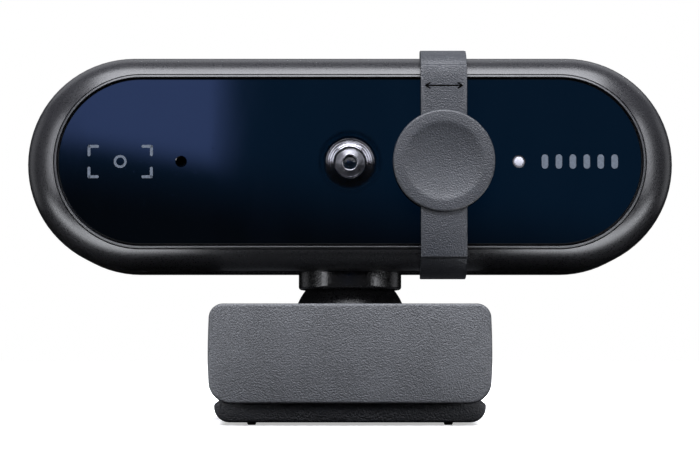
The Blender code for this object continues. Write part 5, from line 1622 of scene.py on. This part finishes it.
@dataclass
class Studio:
    """A pale floor, soft lights, cards that only reflections show, and the camera."""

    distance: float = 434.3 * MM
    eye_height: float = 18.9 * MM
    aim_height: float = 28.8 * MM
    aim_y: float = -9.3 * MM
    lens: float = 146.9
    floor_radius: float = 2.2
    lights: tuple[SoftLight, ...] = (
        SoftLight("top_box", (0.0, -0.2, 0.75), (0.9, 0.55), 13.5),
        SoftLight("front_box", (0.0, -0.66, 0.8), (0.9, 0.3), 13.0),
        SoftLight("left_strip", (-0.62, -0.36, 0.16), (0.16, 0.5), 1.6),
        SoftLight("right_strip", (0.62, -0.36, 0.16), (0.16, 0.5), 1.6),
        SoftLight("left_back", (-0.6, 0.34, 0.1), (0.3, 0.5), 0.24),
        SoftLight("right_back", (0.6, 0.34, 0.1), (0.3, 0.5), 0.3),
        SoftLight("rear_top", (0.0, 0.6, 0.52), (1.3, 0.35), 1.0),
        SoftLight("rear_box", (0.2, 0.95, 0.5), (0.8, 0.45), 26.0, False))
    cards: tuple[tuple[GlowingCard, float], ...] = (
        (GlowingCard("haze_card", (3.4, 3.45, 3.75), (-900.0, 246.0), (900.0, 700.0), 25.0), -1.2),
        (GlowingCard("sky_card", (0.55, 0.92, 2.4), (-215.0, 142.0), (-62.0, 260.0), 8.0, 0.17), -1.0),
        (GlowingCard("dusk_card", (0.02, 0.15, 0.40), (-230.0, 143.0), (230.0, 300.0), 25.0, 0.17), -1.1))

    def build(self) -> None:
        """Set the stage, the lights and the camera."""
        scene = bpy.context.scene
        scene.view_settings.view_transform = "Standard"
        self._world(scene)
        outline = arc((0, 0), (self.floor_radius,) * 2, 0, math.tau, 128)[:-1]
        floor = self._sheet("floor", [(x, y, CAD_BOX[0].z) for x, y in outline], StudioFloor("studio_floor"))
        floor.visible_diffuse = floor.visible_glossy = False
        for light in self.lights:
            light.build()
        for card, y in self.cards:
            (x0, z0), (x1, z1) = card.low, card.high
            reach = 2 * card.fade + abs(card.slant * x0)
            sides = [(x0 - reach, z0 - reach), (x1 + reach, z0 - reach), (x1 + reach, z1 + reach),
                     (x0 - reach, z1 + reach)]
            self._reflection(card, [(x * MM, y, z * MM) for x, z in sides])
        self._table_glow()
        self._camera(scene)

    def _world(self, scene: bpy.types.Scene) -> None:
        """A white surround that doesn't light the object."""
        world = bpy.data.worlds.new("surround")
        world.use_nodes = True
        world.node_tree.nodes["Background"].inputs["Color"].default_value = (1.0, 1.0, 1.0, 1.0)
        scene.world = world
        world.cycles_visibility.diffuse = world.cycles_visibility.glossy = False

    def _table_glow(self) -> None:
        """The lit parts of the table ahead of the object."""
        y0, y1, z, reach = -56.0, -19.0, 0.5, 5.0
        for side, x0, x1 in (("left", -150.0, -26.0), ("right", 26.0, 150.0)):
            finish = GlowingCard(f"table_glow_{side}", (8.0, 8.2, 8.6), (x0, -46.0), (x1, -24.0), reach, 0.0, "Y")
            corners = [(x0 - reach, y0, z), (x1 + reach, y0, z), (x1 + reach, y1, z), (x0 - reach, y1, z)]
            self._reflection(finish, [[c * MM for c in corner] for corner in corners])

    def _reflection(self, finish: GlowingCard, points: Sequence[Sequence[float]]) -> None:
        """Add a sheet that only reflections show."""
        sheet = self._sheet(finish.name, points, finish)
        sheet.visible_camera = sheet.visible_diffuse = sheet.visible_shadow = False

    def _sheet(self, name: str, points: Sequence[Sequence[float]], finish: Finish) -> bpy.types.Object:
        """Add a flat staged sheet.

        Args:
            name: The sheet's name.
            points: Its outline.
            finish: Its look.

        Returns:
            The sheet's object.
        """
        mesh = bpy.data.meshes.new(name)
        mesh.from_pydata([tuple(p) for p in points], [], [tuple(range(len(points)))])
        sheet = bpy.data.objects.new(name, mesh)
        bpy.context.scene.collection.objects.link(sheet)
        sheet.data.materials.append(finish.material())
        return sheet

    def _camera(self, scene: bpy.types.Scene) -> None:
        """A long lens a little below the head's middle, looking slightly up."""
        data = bpy.data.cameras.new("camera")
        data.lens, data.sensor_width = self.lens, 36.0
        data.clip_start, data.clip_end = 0.01, 20.0
        camera = bpy.data.objects.new("camera", data)
        camera.location = (0.0, -self.distance, self.eye_height)
        aim = Vector((0.0, self.aim_y, self.aim_height)) - camera.location
        camera.rotation_euler = aim.to_track_quat("-Z", "Y").to_euler()
        scene.collection.objects.link(camera)
        scene.camera = camera


# ---- Assembly ----

def main() -> None:
    """Build the studio and every sub-assembly in order."""
    logging.basicConfig(level=logging.INFO, format="%(name)s: %(message)s")
    cam = Webcam()
    Studio().build()

    axis = (0.0, 0.0, cam.level_box("lens_shroud").mid.z / MM)
    print_y = cam.level_box("front_window").high.y / MM
    shell_black = MouldedPlastic("satin_shell", (0.016, 0.016, 0.018), 0.3, 0.22, 0.006, 0.10, 0.5, 0.05)
    lip_black = MouldedPlastic("satin_lip", (0.03, 0.031, 0.034), 0.42, 0.3, 0.006, 0.08, 0.5, 0.04)
    clip_grey = MouldedPlastic("grained_clip", (0.046, 0.048, 0.053), 0.5, 0.22, 0.17, 0.4, 0.5, 0.1)
    # The leg is the clip's grained grey plastic painted darker: painted shade for the lip's shadow over the folded leg.
    shaded_leg_grey = MouldedPlastic("grained_leg_painted_shade", (0.018, 0.019, 0.022), 0.44, 0.27, 0.2, 0.35, 0.4, 0.1)
    cover_grey = MouldedPlastic("grained_cover", (0.020, 0.022, 0.027), 0.41, 0.20, 0.12, 0.35, 0.5, 0.1)
    neck_black = MouldedPlastic("neck_plastic", (0.010, 0.010, 0.011), 0.26, 0.35, 0.03, 0.16, 0.5, 0.06)
    dome_black = MouldedPlastic("dome_plastic", (0.008, 0.008, 0.009), 0.3, 0.3, 0.05, 0.2, 0.4, 0.05)
    chip_black = MouldedPlastic("chip_resin", (0.02, 0.02, 0.022), 0.5, 0.12, 0.01, 0.15)
    nylon = MouldedPlastic("natural_nylon", (0.62, 0.6, 0.54), 0.42, 0.5, 0.01, 0.06)
    glass = BackPrintedGlass("tinted_pane", (0.0009, 0.0015, 0.0024), (axis[0], print_y, axis[2]), 4.2, 0.75, 0.04)
    turned = TurnedBlack("turned_mount", (0.17, 0.17, 0.185), axis, 0.2, 0.3, 0.5, 0.95)
    cone = TurnedBlack("lens_cone_skin", (0.27, 0.27, 0.295), axis, 0.32, 0.15, 0.5, 1.0)
    coated = CoatedLens("coated_lens", (0.003, 0.004, 0.006), (0.012, 0.022, 0.034), axis, 1.5)
    rubber = Rubber("soft_rubber", (0.022, 0.022, 0.023))
    steel = DrawnSteel("drawn_steel")
    ink = PrintedInk("grey_ink", (0.075, 0.095, 0.125))
    # Near-black fill with almost no reflection for the engraved arrow: painted shade for its groove.
    engraving_shade_fill = PrintedInk("engraving_painted_shade", (0.002, 0.002, 0.002), 0.02)
    lamp = LitDiffuser("lamp_diffuser")

    HeadShell(cam, shell_black).build()
    GlassFront(cam, lip_black, glass, ink, lamp).build()
    LensUnit(cam, cone, turned, coated).build()
    SlidingCover(cam, cover_grey, engraving_shade_fill).build()
    BackFittings(cam, steel, rubber).build()
    SwivelNeck(cam, neck_black, dome_black).build()
    clip = ScreenClip(cam, clip_grey, rubber, steel, nylon)
    clip.build()
    FoldingLeg(clip, shaded_leg_grey).build()

    board_screws = [f"board_screw_{i}" for i in range(1, 5)]
    cam.repaint(dome_black, "pan_retainer")
    cam.repaint(turned, "lens_holder")
    cam.repaint(coated, "lens_rear_element", "ir_filter")
    cam.repaint(rubber, "window_gasket", "mic_boot")
    cam.repaint(steel, "stem_screw", "stem_nut", "stem_washer", "spring_washer", "neck_screw_left",
                "neck_screw_right", *board_screws, "microphone", "crystal_oscillator")
    cam.repaint(nylon, "pan_washer", "tilt_saddle", "cable_connector")
    cam.repaint(CircuitBoard("circuit_board"), "main_board")
    cam.repaint(chip_black, "video_processor", "memory_chip", "image_sensor")
    cam.repaint(lamp, "status_led")


if __name__ == "__main__":
    main()
